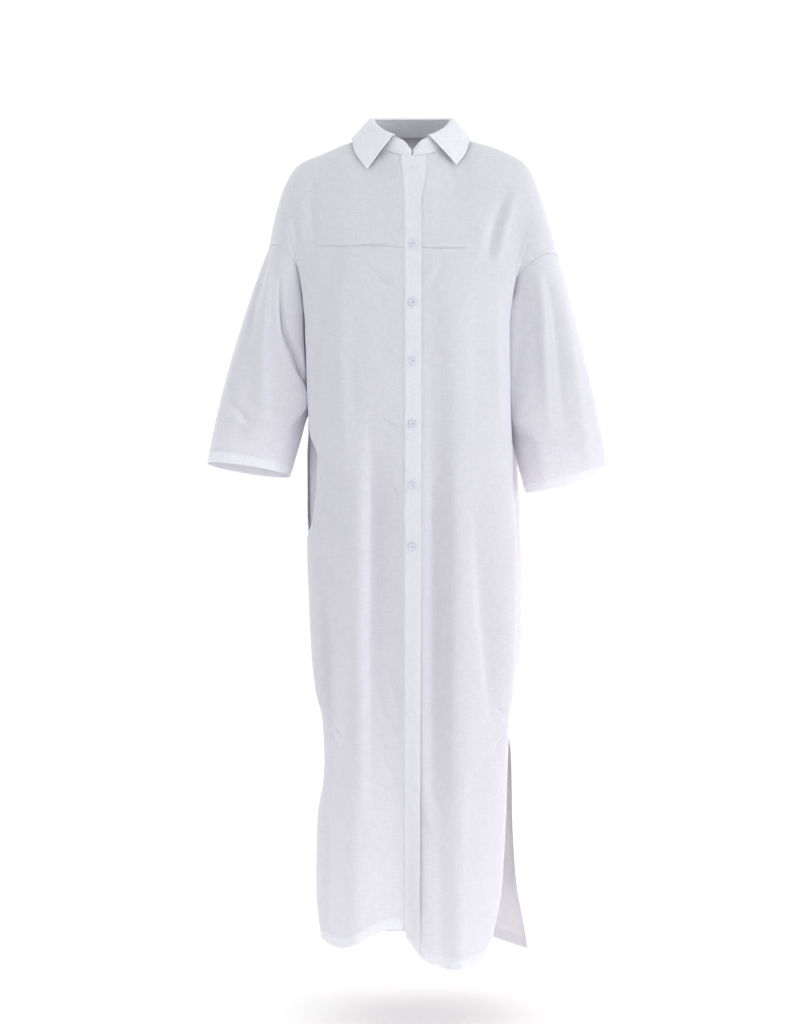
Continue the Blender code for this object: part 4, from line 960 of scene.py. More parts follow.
# Creases pressed when the dress lay folded: places across, levels, half width and depth, eased at both ends.
PRESSED = (
    ((-0.15, -0.11, -0.06, -0.014), (-0.1735, -0.174, -0.1725, -0.1755), 0.0013, 0.0021),
    ((0.014, 0.05, 0.08, 0.098), (-0.1755, -0.177, -0.1768, -0.1765), 0.0013, 0.0021),
    ((-0.12, -0.06, -0.014), (-0.343, -0.345, -0.346), 0.0015, 0.0009),
    ((0.014, 0.06, 0.12), (-0.346, -0.344, -0.34), 0.0015, 0.0009),
    ((-0.13, -0.07, -0.014), (-0.53, -0.532, -0.531), 0.0015, 0.0009),
    ((0.014, 0.07, 0.13), (-0.531, -0.529, -0.532), 0.0015, 0.0008),
)
PRESSED_BACK = (
    ((-0.15, -0.06, 0.05, 0.15), (-0.176, -0.178, -0.177, -0.174), 0.0018, 0.0009),
    ((-0.13, 0.0, 0.13), (-0.346, -0.344, -0.347), 0.0018, 0.0006),
    ((-0.14, 0.0, 0.14), (-0.53, -0.533, -0.529), 0.0018, 0.0005),
    ((-0.14, 0.0, 0.14), (-0.905, -0.902, -0.906), 0.0018, 0.0004),
)
BACK_FALLS = (
    ((-0.14, -0.22, -0.34, -0.5, -0.7), (-0.12, -0.124, -0.126, -0.122, -0.1856),
     (0.012, 0.014, 0.015, 0.016, 0.014), (0.0, 0.0041, 0.0061, 0.0044, 0.0)),
    ((-0.16, -0.26, -0.4, -0.58, -0.8), (-0.062, -0.058, -0.054, -0.052, -0.08),
     (0.014, 0.018, 0.022, 0.024, 0.022), (0.0, -0.0034, -0.0058, -0.0065, 0.0)),
    ((-0.18, -0.3, -0.48, -0.72, -1.0), (-0.006, -0.004, 0.002, 0.006, 0.016),
     (0.012, 0.016, 0.02, 0.022, 0.02), (0.0, 0.0024, 0.0044, 0.0041, 0.0)),
    ((-0.15, -0.24, -0.38, -0.56, -0.78), (0.06, 0.058, 0.056, 0.054, 0.08),
     (0.014, 0.017, 0.021, 0.022, 0.02), (0.0, -0.0037, -0.0061, -0.0058, 0.0)),
    ((-0.13, -0.22, -0.32, -0.46, -0.66), (0.124, 0.127, 0.13, 0.128, 0.1984),
     (0.011, 0.014, 0.014, 0.015, 0.014), (0.0, 0.0044, 0.0058, 0.0037, 0.0)),
    ((-0.7, -0.86, -1.02, -1.18, -1.36), (-0.04, -0.04, -0.038, -0.036, -0.0544),
     (0.014, 0.018, 0.02, 0.022, 0.024), (0.0, -0.0051, -0.0075, -0.0085, -0.0095)),
    ((-0.76, -0.92, -1.08, -1.36), (0.046, 0.048, 0.05, 0.0832),
     (0.014, 0.018, 0.02, 0.022), (0.0, -0.0048, -0.0071, -0.0085)),
    ((-0.9, -1.04, -1.18, -1.36), (-0.118, -0.116, -0.112, -0.1728),
     (0.012, 0.014, 0.016, 0.018), (0.0, -0.0044, -0.0065, -0.0078)),
    ((-0.88, -1.02, -1.16, -1.36), (0.138, 0.142, 0.148, 0.2496),
     (0.012, 0.014, 0.016, 0.018), (0.0, -0.0041, -0.0065, -0.0075)),
)
BACK_DRAGS = (
    ((-0.168, -0.09), (-0.112, -0.22), -0.004, 0.01, -0.0058),
    ((-0.18, -0.11), (-0.136, -0.215), -0.004, 0.0085, 0.0038),
    ((0.17, -0.092), (0.116, -0.225), 0.004, 0.01, -0.0061),
    ((0.182, -0.108), (0.14, -0.212), 0.004, 0.0085, 0.0038),
    ((-0.06, -0.04), (-0.018, -0.075), -0.004, 0.008, -0.0019),
    ((0.058, -0.04), (0.016, -0.078), 0.004, 0.008, -0.0019),
    ((-0.15, -0.948), (-0.112, -0.968), 0.002, 0.0034, -0.0026),
    ((-0.15, -0.944), (-0.118, -0.915), 0.002, 0.0034, -0.0021),
    ((0.16, -0.948), (0.118, -0.97), 0.002, 0.0034, -0.0026),
    ((0.16, -0.944), (0.126, -0.912), 0.002, 0.0034, -0.0021),
    ((-0.06, -0.7), (0.0, -0.74), 0.005, 0.007, -0.0019),
    ((0.07, -0.64), (0.02, -0.69), -0.005, 0.007, -0.0019),
)
# Folds of each sleeve: rows down it, turns round it, half widths in turns, and heights. A turn of 0 is the
# outer line, 0.5 the front, 1 the side by the body and 1.5 the back.
SLEEVE_FALLS = {
    RIGHT: (
        ((0.02, 0.1, 0.226, 0.42, 0.634, 0.82), (0.26, 0.3, 0.35, 0.43, 0.51, 0.55),
         (0.05, 0.055, 0.06, 0.065, 0.07, 0.07), (0.0, 0.0044, 0.0074, 0.008, 0.0062, 0.0), 0.7),
        ((0.01, 0.1, 0.264, 0.42, 0.58), (0.13, 0.15, 0.18, 0.25, 0.31),
         (0.03, 0.038, 0.042, 0.045, 0.045), (0.0, -0.0036, -0.0054, -0.0044, 0.0), 1.6),
        ((0.1, 0.21, 0.292, 0.38, 0.456, 0.502, 0.57), (0.42, 0.485, 0.556, 0.64, 0.712, 0.812, 0.92),
         (0.022, 0.026, 0.03, 0.035, 0.04, 0.045, 0.05),
         (0.0, -0.0066, -0.012, -0.014, -0.0136, -0.01, 0.0), 1.5),
        ((0.14, 0.26, 0.38, 0.48), (0.72, 0.8, 0.88, 0.95),
         (0.04, 0.05, 0.06, 0.06), (0.0, -0.003, -0.0044, 0.0)),
        ((0.46, 0.58, 0.72, 0.86), (0.74, 0.74, 0.76, 0.78),
         (0.05, 0.06, 0.07, 0.07), (0.0, 0.003, 0.0036, 0.0)),
        ((0.5, 0.64, 0.8, 1.0), (0.37, 0.38, 0.4, 0.41),
         (0.04, 0.045, 0.05, 0.05), (0.0, -0.003, -0.004, -0.0016), 1.5),
        ((0.4, 0.6, 0.8, 1.0), (0.17, 0.17, 0.18, 0.2),
         (0.05, 0.06, 0.06, 0.06), (0.0, 0.003, 0.0038, 0.0016), 0.8),
        ((0.05, 0.25, 0.5, 0.8), (1.42, 1.46, 1.5, 1.52),
         (0.07, 0.09, 0.1, 0.1), (0.0, 0.005, 0.006, 0.0)),
        ((0.05, 0.25, 0.5, 0.85), (1.66, 1.64, 1.62, 1.6),
         (0.06, 0.07, 0.08, 0.09), (0.0, -0.0056, -0.0064, 0.0)),
        ((0.15, 0.35, 0.6, 0.9), (1.24, 1.26, 1.28, 1.3),
         (0.06, 0.07, 0.08, 0.08), (0.0, -0.0056, -0.007, 0.0)),
    ),
    LEFT: (
        ((0.02, 0.098, 0.28, 0.456, 0.64), (0.7, 0.715, 0.755, 0.8, 0.84),
         (0.03, 0.036, 0.04, 0.042, 0.04), (0.0, 0.004, 0.0056, 0.0052, 0.0)),
        ((0.03, 0.12, 0.3, 0.5, 0.72), (0.61, 0.615, 0.655, 0.71, 0.75),
         (0.045, 0.055, 0.06, 0.06, 0.055), (0.0, -0.0018, -0.003, -0.003, 0.0), 0.5),
        ((0.03, 0.17, 0.38, 0.6, 0.82), (0.44, 0.445, 0.5, 0.55, 0.57),
         (0.03, 0.035, 0.04, 0.042, 0.045), (0.0, 0.0044, 0.0062, 0.0056, 0.0), 1.5),
        ((0.06, 0.22, 0.42, 0.62, 0.8), (0.35, 0.355, 0.4, 0.44, 0.46),
         (0.045, 0.05, 0.055, 0.055, 0.055), (0.0, -0.0032, -0.0048, -0.004, 0.0), 0.6),
        ((0.1, 0.28, 0.5, 0.76, 0.98), (0.22, 0.23, 0.27, 0.31, 0.33),
         (0.05, 0.055, 0.06, 0.06, 0.06), (0.0, 0.0024, 0.0038, 0.0036, 0.0012)),
        ((0.4, 0.58, 0.78, 1.0), (0.62, 0.64, 0.66, 0.67),
         (0.04, 0.05, 0.055, 0.055), (0.0, 0.003, 0.0042, 0.002)),
        ((0.05, 0.25, 0.5, 0.8), (1.4, 1.44, 1.48, 1.5),
         (0.07, 0.09, 0.1, 0.1), (0.0, 0.005, 0.006, 0.0)),
        ((0.05, 0.25, 0.5, 0.85), (1.64, 1.62, 1.6, 1.58),
         (0.06, 0.07, 0.08, 0.09), (0.0, -0.0054, -0.0064, 0.0)),
        ((0.15, 0.35, 0.6, 0.9), (1.22, 1.25, 1.28, 1.3),
         (0.06, 0.07, 0.08, 0.08), (0.0, -0.0054, -0.0068, 0.0)),
    ),
}
# Creases across each sleeve, as drags in turns and rows; the half width is in rows.
SLEEVE_DRAGS = {
    RIGHT: (
        ((0.14, 0.7), (0.46, 0.8), 0.02, 0.016, -0.0035),
        ((0.2, 0.78), (0.52, 0.84), 0.02, 0.016, 0.0029),
        ((0.36, 0.74), (0.7, 0.7), 0.02, 0.018, -0.0029),
        ((0.02, 0.6), (0.28, 0.68), 0.02, 0.018, -0.0022),
        ((0.56, 0.6), (0.84, 0.54), 0.02, 0.018, 0.0026),
    ),
    LEFT: (
        ((0.66, 0.74), (0.34, 0.82), 0.02, 0.016, -0.0026),
        ((0.7, 0.82), (0.4, 0.88), 0.02, 0.016, 0.0019),
        ((0.2, 0.6), (0.44, 0.68), 0.02, 0.018, -0.0019),
    ),
}

# Pressed creases: how far and how much the cloth above one swells, how far it fades at its ends, and how
# close to the middle an end has to be to run on under the bands.
CREASE_SWELL = 0.012
CREASE_SWELL_SHARE = 0.8
CREASE_FADE = 0.018
CREASE_MIDDLE = 0.02
# The long folds deepen by this share between two levels below the waist, and lose it again near the hem.
SKIRT_DEEPENING = 0.9
DEEPENING_STARTS, DEEPENING_FULL = -0.42, -0.62
DEEPENING_ENDS = (-1.1, -1.24)
# Close to the neck the folds lose this share of their height, and beside a seam they fade out.
NECK_CALM = 0.75
NECK_CALM_LEVELS = (-0.09, -0.02)
SEAM_CALM = (0.004, 0.02)
# Felled seams: height of the raised strip, its width at the armholes and at the sides, and its soft edge.
SEAM_RIDGE = 0.0004
ARMHOLE_STRIP = 0.003
SEAM_STITCH = 0.0055
STRIP_SOFTNESS = 0.0016
STRIP_GROOVE_INSIDE = 0.001
# The groove under a line of stitches: its depth and half width, and how much deeper it is in a hem or collar.
STITCH_GROOVE = 0.00025
GROOVE_HALF_WIDTH = 0.0009
HEM_GROOVE = 1.6
HEM_GROOVE_HALF_WIDTH = 0.0011
COLLAR_GROOVE = 1.2
# Turned hems: distance of the stitches from the edge, what the fold adds, and the puckers along it.
HEM_STITCH = 0.018
HEM_SOFTNESS = 0.001
HEM_RISE = 0.0005
HEM_FOLD_EXTRA = 0.0006
HEM_PUCKER = 0.0005
HEM_PUCKER_CELL = 0.009
HEM_PUCKER_REACH = 0.016
# Metres round a sleeve for one unit of its turn, close enough for fine crumpling.
SLEEVE_TURN_LENGTH = 0.21
SLEEVE_HEAD_TUCK = 0.0003
# Seeds of the random fields, one for each kind of place.
FRONT_SEED, BACK_SEED, PANEL_HEM_SEED, SLEEVE_SEED, CUFF_SEED, LEAF_SEED = 11, 31, 51, 71, 81, 91


def pressed(x, z, rows):
    """Pressed creases: a narrow valley along each line, with the cloth above it standing a little proud."""
    total = np.zeros(x.shape)
    for places, levels, half_width, depth in rows:
        rise = z - smooth(places, levels, x)
        starts = ease(places[0] - CREASE_FADE, places[0] + CREASE_FADE, x)
        goes_on = 1 - ease(places[-1] - CREASE_FADE, places[-1] + CREASE_FADE, x)
        if abs(places[0]) < CREASE_MIDDLE:
            starts = x > 0
        elif abs(places[-1]) < CREASE_MIDDLE:
            goes_on = x < 0
        above = np.where(rise > 0, np.exp(-rise / CREASE_SWELL) * (1 - np.exp(-rise / (2 * half_width))), 0)
        total = total + starts * goes_on * depth * (CREASE_SWELL_SHARE * above - bell(rise, half_width))
    return total


def seam_relief(distance, wide):
    """Felled seam: a flat raised strip from the seam to its topstitching, grooved under the stitches."""
    strip = 1 - ease(wide, wide + STRIP_SOFTNESS, distance)
    groove = bell(distance - (wide - STRIP_GROOVE_INSIDE), GROOVE_HALF_WIDTH)
    return SEAM_RIDGE * strip - STITCH_GROOVE * groove


def in_hem(distance):
    """1 within the turned hem at a distance from its edge, and 0 above it."""
    return 1 - ease(HEM_STITCH - HEM_SOFTNESS, HEM_STITCH + HEM_SOFTNESS, distance)


def hem_relief(distance, across, seed):
    """Turned hem: a slightly thicker band up to its stitch line, gently puckered along it."""
    band = 1 - ease(HEM_STITCH, HEM_STITCH + 2 * HEM_SOFTNESS, distance)
    waves = lattice(across, distance * 0.4, HEM_PUCKER_CELL, seed)
    pucker = HEM_PUCKER * waves * bell(distance - 0.6 * HEM_STITCH, HEM_PUCKER_REACH)
    groove = STITCH_GROOVE * HEM_GROOVE * bell(distance - HEM_STITCH, HEM_GROOVE_HALF_WIDTH)
    return HEM_RISE * band - groove + pucker


def body_relief(panel, side, u, v, p, width, height):
    """Relief of a front or of the back: long folds, drags, pressed creases, fine crumpling, seams and hem.

    The long folds deepen below the waist, where nothing fills the cloth.
    """
    x, z = p[..., 0], p[..., 2]
    front = panel == FRONT
    total = np.zeros(x.shape)
    for row in (FRONT_FALLS if front else BACK_FALLS):
        total = total + fall(x, z, row)
    deeper = ease(DEEPENING_STARTS, DEEPENING_FULL, z) * (1 - ease(*DEEPENING_ENDS, z))
    total = total * (1 + SKIRT_DEEPENING * deeper)
    for row in (FRONT_DRAGS if front else BACK_DRAGS):
        total = total + drag(x, z, row)
    total = total * sizes().folds + pressed(x, z, PRESSED if front else PRESSED_BACK)
    total = total + crumple(x, z, FRONT_SEED if front else BACK_SEED) * sizes().crumple
    total = total * (1 - NECK_CALM * ease(*NECK_CALM_LEVELS, z))
    to_side = (1 - np.abs(u)) * width
    total = total * ease(*SEAM_CALM, to_side)
    total = total + np.where(v < 1, seam_relief(to_side, ARMHOLE_STRIP), seam_relief(to_side, SEAM_STITCH))
    to_hem = (2 - v) * height
    return total + hem_relief(to_hem, x, PANEL_HEM_SEED)


def sleeve_relief(side, turn, v, p, width, height):
    """Relief of a sleeve: long folds, creases across, fine crumpling, the tucked head and the hem."""
    around = np.mod(turn, 2.0)
    total = np.zeros(around.shape)
    for row in SLEEVE_FALLS[side]:
        total = total + fall(around, v, row)
    for row in SLEEVE_DRAGS[side]:
        total = total + drag(around, v, row)
    run = around * SLEEVE_TURN_LENGTH
    total = total * sizes().folds + crumple(run, p[..., 2], SLEEVE_SEED + side) * sizes().crumple
    total = total * ease(0.0, 0.10, v) * (1 - 0.6 * ease(0.90, 0.96, v))
    inner = bell(around - 1.0, 0.16)
    total = total * (1 - inner * (total > 0))
    to_cuff = (1 - v) * height
    to_head = v * height
    tuck = SLEEVE_HEAD_TUCK * (1 - ease(0.0, 0.003, to_head))
    return total - tuck + hem_relief(to_cuff, run, CUFF_SEED)


# Bands, collar, pocket and buttons.

BAND_STITCH = 0.0026
# How far the open edge of the top band stands off low down, how unevenly, and between which levels.
BAND_GAPE = 0.003
GAPE_UNEVENNESS, GAPE_CELL = 0.45, 0.06
GAPE_LEVELS, GAPE_ENDS = (-0.66, -0.86), (-1.22, -1.3)
# The dent round each button, and the slanted puckers and wider waves of a band.
BUTTON_DENT, BUTTON_DENT_REACH = 0.0003, 0.008
SLANTED_PUCKER, SLANTED_CELL, PUCKER_REACH = 0.00042, 0.0085, 0.0065
WIDE_PUCKER, WIDE_CELL = 0.0004, 0.03
COLLAR_STITCH = 0.005
COLLAR_WAVE, COLLAR_WAVE_CELL = 0.0007, 0.03
COLLAR_EDGE_SWELL = 0.0003
STAND_STITCH = 0.0022
# Times that a search for a share halves its range, and the widest share that it looks at.
HALVINGS = 24
WIDEST_SHARE = 0.4


def share_at(side, x, v, hem):
    """Column share of a front whose point at row v lies at the distance x from the centre, by halving."""
    low, high = np.zeros(x.shape), np.full(x.shape, WIDEST_SHARE)
    for _ in range(HALVINGS):
        middle = (low + high) / 2
        short = body(FRONT, side, middle, v, hem)[..., 0] * side < x
        low, high = np.where(short, middle, low), np.where(short, high, middle)
    return (low + high) / 2


def band_surface(right_key, left_key, hems):
    """Surface of a band: s runs across it from the wearer's right edge to the left one, v runs down."""
    def at(s, v):
        s, v = np.broadcast_arrays(np.asarray(s, dtype=float), np.asarray(v, dtype=float))
        hem = hems[0] + (hems[1] - hems[0]) * s
        level = body(FRONT, LEFT, 0 * s, v, hem)[..., 2]
        right_edge = read(BANDS, right_key, level)
        x = right_edge + (read(BANDS, left_key, level) - right_edge) * s
        on_right = share_at(RIGHT, np.maximum(-x, 0), v, hem)
        on_left = share_at(LEFT, np.maximum(x, 0), v, hem)
        a = on_left - on_right
        return either_side(FRONT, a, np.abs(a), v, hem)
    return at


def band_relief(lift, seed):
    """Relief of a band: its lift, its open edge gaping low down, grooves under stitches, and puckers."""
    def relief(s, v, p, width, height):
        x, z = p[..., 0], p[..., 2]
        from_right, from_left = s * width - BAND_STITCH, (1 - s) * width - BAND_STITCH
        total = lift * ease(0.0, 0.16, s)
        if lift:
            wavy = 1 + GAPE_UNEVENNESS * lattice(0 * z, z, GAPE_CELL, seed + 3)
            gape = BAND_GAPE * wavy * ease(*GAPE_LEVELS, z) * (1 - ease(*GAPE_ENDS, z))
            total = total + gape * s ** 2
            for level in BUTTON_LEVELS:
                total = total - BUTTON_DENT * bell(np.hypot(x, z - level), BUTTON_DENT_REACH)
        edges = bell(from_right, GROOVE_HALF_WIDTH) + bell(from_left, GROOVE_HALF_WIDTH)
        near = bell(from_right, PUCKER_REACH) + bell(from_left, PUCKER_REACH)
        slanted = lattice(x * 0.6 + z * 0.75, z * 0.6 - x * 0.9, SLANTED_CELL, seed)
        wide = lattice(x + 0.5 * z, z, WIDE_CELL, seed + 1)
        total = total + SLANTED_PUCKER * slanted * (0.35 + 0.65 * near) + WIDE_PUCKER * wide
        to_hem = (2 - v) * height
        return total - STITCH_GROOVE * edges + hem_relief(to_hem, x, seed + 2)
    return relief


def leaf_relief(share, t, p, width, height):
    """Relief of the collar leaf: a groove under the edge stitching, softly waved edges and a rolled fold."""
    to_edge = (1 - t) * height
    to_front = (1 - np.abs(share)) * width
    nearest = np.minimum(to_edge, to_front)
    groove = STITCH_GROOVE * COLLAR_GROOVE * bell(nearest - COLLAR_STITCH, GROOVE_HALF_WIDTH)
    wave = COLLAR_WAVE * lattice(p[..., 0], p[..., 1] + p[..., 2], COLLAR_WAVE_CELL, LEAF_SEED)
    edge_swell = COLLAR_EDGE_SWELL * ease(0.0, 0.002, nearest) * (1 - ease(0.0035, 0.006, nearest))
    return wave * ease(0.3, 0.6, t) + edge_swell - groove


def stand_relief(turn, rise, p, width, height):
    """Relief of the stand: a groove under the stitching near its foot."""
    return -STITCH_GROOVE * bell(rise * height - STAND_STITCH, GROOVE_HALF_WIDTH)


def stand_surface(turn, rise):
    """Point of the stand for a turn that runs on past half way round."""
    return stand(np.where(turn > math.pi, turn - 2 * math.pi, turn), rise)


# A button's outline from the middle of its back to the rim of its face, in shares of its sizes.
BUTTON_PROFILE = {
    "radius": (0.0, 0.5, 0.86, 0.97, 1.0, 1.0, 0.965, 0.9, 0.84, 0.78, 0.7, 0.64),
    "rise": (0.0, 0.0, 0.0, 0.12, 0.3, 0.72, 0.93, 1.0, 0.985, 0.9, 0.72, 0.66),
}
HOLE_RADIUS = 0.00085
HOLE_DISTANCE = 0.00145
HOLE_DEPTH = 0.0012
BUTTON_STEPS = 64
FACE_STEPS = 18
CENTRE_ROWS = 401
# Each button is turned by up to this many radians. Its strands of thread lie this far apart and arch up.
BUTTON_TWIST, TWIST_TURN = 0.35, 1.9
STRANDS = (-0.0002, 0.0, 0.0002)
STRAND_POINTS = 5
STRAND_ARCH, STRAND_DIVE = 0.00035, 0.0004
STRAND_THREAD = {"pitch": 0.004, "length": 0.0028, "radius": 0.00016}


def centre_row_at(level):
    """Row of a level at the centre front, found between evenly spaced rows down to the slits."""
    rows = np.linspace(0, SLIT_ROW, CENTRE_ROWS)
    heights = body(FRONT, LEFT, np.zeros(rows.shape), rows)[:, 2]
    return np.interp(-level, -heights, rows)


def button_seat(level):
    """Place of a button's back on the top band, with the directions out of the cloth, aside and up."""
    u, v = np.array([STEP]), np.array([centre_row_at(level)])
    along_u = body(FRONT, LEFT, u + STEP, v)[0] - body(FRONT, LEFT, u - STEP, v)[0]
    along_v = body(FRONT, LEFT, u, v + STEP)[0] - body(FRONT, LEFT, u, v - STEP)[0]
    n = np.cross(along_u, along_v)
    n /= np.linalg.norm(n)
    n = n if n[1] < 0 else -n
    up = np.cross(n, (1.0, 0.0, 0.0))
    up /= np.linalg.norm(up)
    aside = np.cross(up, n)
    base = body(FRONT, LEFT, u, v)[0] + n * (PLACKET_LIFT + SEAM_GAP + BUTTON_SEAT)
    return base, n, aside, up


def button_points(level, twist):
    """Rings of a button's surface: its turned profile, then the face inwards with four round thread holes."""
    base, n, aside, up = button_seat(level)
    face = np.linspace(BUTTON_PROFILE["radius"][-1], 0.0, FACE_STEPS)[1:]
    share = np.concatenate([BUTTON_PROFILE["radius"], face])
    rise = np.concatenate([BUTTON_PROFILE["rise"], np.full(face.shape, BUTTON_PROFILE["rise"][-1])])
    angle = np.arange(BUTTON_STEPS) * 2 * math.pi / BUTTON_STEPS
    radius = share[:, None] * BUTTON_RADIUS
    a, b = radius * np.cos(angle), radius * np.sin(angle)
    height = np.repeat((rise * BUTTON_THICKNESS)[:, None], BUTTON_STEPS, axis=1)
    on_face = np.arange(len(share))[:, None] >= len(BUTTON_PROFILE["radius"])
    for k in range(4):
        hole = twist + (k + 0.5) * math.pi / 2
        off = np.hypot(a - HOLE_DISTANCE * math.cos(hole), b - HOLE_DISTANCE * math.sin(hole))
        height = height - on_face * HOLE_DEPTH * np.exp(-(off / HOLE_RADIUS) ** 6)
    return base + n * height[..., None] + aside * a[..., None] + up * b[..., None]


def button_threads(level, twist):
    """Sewing thread across a button: three strands along each side of the square of holes."""
    base, n, aside, up = button_seat(level)
    runs = []
    lift = BUTTON_PROFILE["rise"][-1] * BUTTON_THICKNESS
    for first in (0, 2):
        for strand in STRANDS:
            ends = [twist + (first + 0.5 + k) * math.pi / 2 for k in (0, 1)]
            a = np.array([HOLE_DISTANCE * math.cos(e) for e in ends])
            b = np.array([HOLE_DISTANCE * math.sin(e) for e in ends])
            along = np.array([a[1] - a[0], b[1] - b[0]])
            cross = np.array([-along[1], along[0]]) / np.linalg.norm(along) * strand
            t = np.linspace(0, 1, STRAND_POINTS)
            x = a[0] + along[0] * t + cross[0]
            y = b[0] + along[1] * t + cross[1]
            arch = np.sin(math.pi * t)
            h = lift + STRAND_ARCH * arch - STRAND_DIVE * (1 - arch)
            points = base + n * h[:, None] + aside * x[:, None] + up * y[:, None]
            runs.append((points, np.tile(n, (STRAND_POINTS, 1))))
    return runs


# Materials.


def linear(hex_colour):
    """Linear red, green, blue and alpha of an sRGB colour written as six hex digits."""
    parts = [int(hex_colour[k:k + 2], 16) / 255 for k in (0, 2, 4)]
    return tuple(c / 12.92 if c <= 0.04045 else ((c + 0.055) / 1.055) ** 2.4 for c in parts) + (1.0,)


def add(tree, kind, settings=None, **links):
    """One node of a kind, with its settings and with its sockets set to values or linked to outputs.

    A socket is named by its name, with underscores for spaces, or by an underscore and its number.
    """
    node = tree.nodes.new("ShaderNode" + kind)
    for name, value in (settings or {}).items():
        setattr(node, name, value)
    for name, value in links.items():
        key = int(name[1:]) if name[0] == "_" and name[1:].isdigit() else name.replace("_", " ")
        if isinstance(value, bpy.types.NodeSocket):
            tree.links.new(value, node.inputs[key])
        else:
            node.inputs[key].default_value = value
    return node


def scaled(tree, colour, source, low, high, span=(0.3, 0.7)):
    """Colour times a number that runs from low to high as the source runs over its span."""
    share = add(tree, "MapRange", _0=source, _1=span[0], _2=span[1], _3=low, _4=high)
    product = add(tree, "VectorMath", {"operation": "SCALE"}, _0=colour, Scale=share.outputs[0])
    return product.outputs[0]


def new_material(name):
    made = bpy.data.materials.new(name)
    made.use_nodes = True
    made.node_tree.nodes.clear()
    return made, made.node_tree


def finished(made, **settings):
    """The material with its surface shader and output added."""
    shader = add(made.node_tree, "BsdfPrincipled", **settings)
    add(made.node_tree, "OutputMaterial", Surface=shader.outputs[0])
    return made


# One turn of the drawn weave, which is two threads each way, and its share of the relief.
WEAVE_TURN = 0.0018
WEAVE_SHARE = 0.08
# Slubs for each metre, along a thread and across it, and how the cloth's tone varies with them.
SLUBS_ALONG, SLUBS_ACROSS = 60.0, 380.0
SLUB_TONES = (0.95, 1.035)
SLUB_SPAN = (0.6, 1.4)
# What is left of the colour where the single cloth is thinner.
THINNER_CLOTH = (0.975, 0.975, 0.985, 1.0)


def cotton(name, single, doubled):
    """White cotton shirting, plain woven, washed and pressed: matt, with faint slubs and a soft nap.

    Where the cloth is doubled in seams, bands and hems it lets less light through and looks whiter.
    Real threads are 0.3 mm apart, too fine for the render, so the weave is drawn three times as coarse.
    """
    made, tree = new_material(name)
    held = add(tree, "UVMap", {"uv_map": "cloth"})
    parts = add(tree, "SeparateXYZ", _0=held.outputs[0])
    across, down = parts.outputs[0], parts.outputs[1]
    turns = 2 * math.pi / WEAVE_TURN

    def wave(value):
        turned = add(tree, "Math", {"operation": "MULTIPLY"}, _0=value, _1=turns)
        return add(tree, "Math", {"operation": "SINE"}, _0=turned.outputs[0]).outputs[0]

    weave = add(tree, "Math", {"operation": "MULTIPLY"}, _0=wave(across), _1=wave(down))

    def slubs(stretch, seed):
        spread = add(tree, "Mapping", Vector=held.outputs[0], Location=(seed, seed, 0.0),
                     Scale=(*stretch, 1.0))
        return add(tree, "TexNoise", {"noise_dimensions": "2D"}, Vector=spread.outputs[0],
                   Scale=1.0, Detail=2.0, Roughness=0.55).outputs[0]

    warp, weft = slubs((SLUBS_ACROSS, SLUBS_ALONG), 0.0), slubs((SLUBS_ALONG, SLUBS_ACROSS), 7.0)
    both = add(tree, "Math", {"operation": "ADD"}, _0=warp, _1=weft)
    relief = add(tree, "Math", {"operation": "MULTIPLY_ADD"}, _0=weave.outputs[0], _1=WEAVE_SHARE,
                 _2=both.outputs[0])
    patches = add(tree, "TexNoise", {"noise_dimensions": "2D"}, Vector=held.outputs[0],
                  Scale=9.0, Detail=3.0, Roughness=0.5)
    tone = add(tree, "MapRange", _0=patches.outputs[0], _1=0.3, _2=0.7, _3=0.0, _4=1.0)
    thinner = tuple(np.array(single) * THINNER_CLOTH)
    shade = add(tree, "Mix", {"data_type": "RGBA"}, _0=tone.outputs[0], _6=single, _7=thinner)
    count = add(tree, "Attribute", {"attribute_name": "layers"})
    colour = add(tree, "Mix", {"data_type": "RGBA"}, _0=count.outputs[2], _6=shade.outputs[2],
                 _7=doubled)
    final = scaled(tree, colour.outputs[2], both.outputs[0], *SLUB_TONES, SLUB_SPAN)
    bump = add(tree, "Bump", Strength=0.45, Distance=0.0005, Height=relief.outputs[0])
    return finished(made, Base_Color=final, Roughness=0.9, Normal=bump.outputs[0], IOR=1.5,
                    Specular_IOR_Level=0.3, Sheen_Weight=0.05, Sheen_Roughness=0.5,
                    Subsurface_Weight=0.65, Subsurface_Radius=(1.0, 0.97, 0.95), Subsurface_Scale=0.0035)


def sewing_thread(name, colour):
    """Mercerised cotton sewing thread: twisted plies that catch a little more light than the cloth."""
    made, tree = new_material(name)
    place = add(tree, "TexCoord")
    plies = add(tree, "TexWave", {"wave_type": "BANDS", "bands_direction": "DIAGONAL"},
                Vector=place.outputs[3], Scale=900.0, Distortion=0.5)
    bump = add(tree, "Bump", Strength=0.3, Distance=0.0001, Height=plies.outputs[1])
    tint = scaled(tree, colour[:3], plies.outputs[1], 0.94, 1.0, span=(0.0, 1.0))
    return finished(made, Base_Color=tint, Roughness=0.6, Normal=bump.outputs[0], Sheen_Weight=0.1)


def button_resin(name, colour):
    """Polyester button resin, cast and tumbled: white, faintly clouded inside, with a soft polish."""
    made, tree = new_material(name)
    place = add(tree, "TexCoord")
    cloud = add(tree, "TexNoise", Vector=place.outputs[3], Scale=260.0, Detail=3.0, Distortion=1.2)
    tint = scaled(tree, colour[:3], cloud.outputs[0], 0.95, 1.0)
    scuff = add(tree, "TexNoise", Vector=place.outputs[3], Scale=900.0, Detail=2.0)
    rough = add(tree, "MapRange", _0=scuff.outputs[0], _1=0.3, _2=0.7, _3=0.22, _4=0.34)
    return finished(made, Base_Color=tint, Roughness=rough.outputs[0], IOR=1.56, Coat_Weight=0.2)


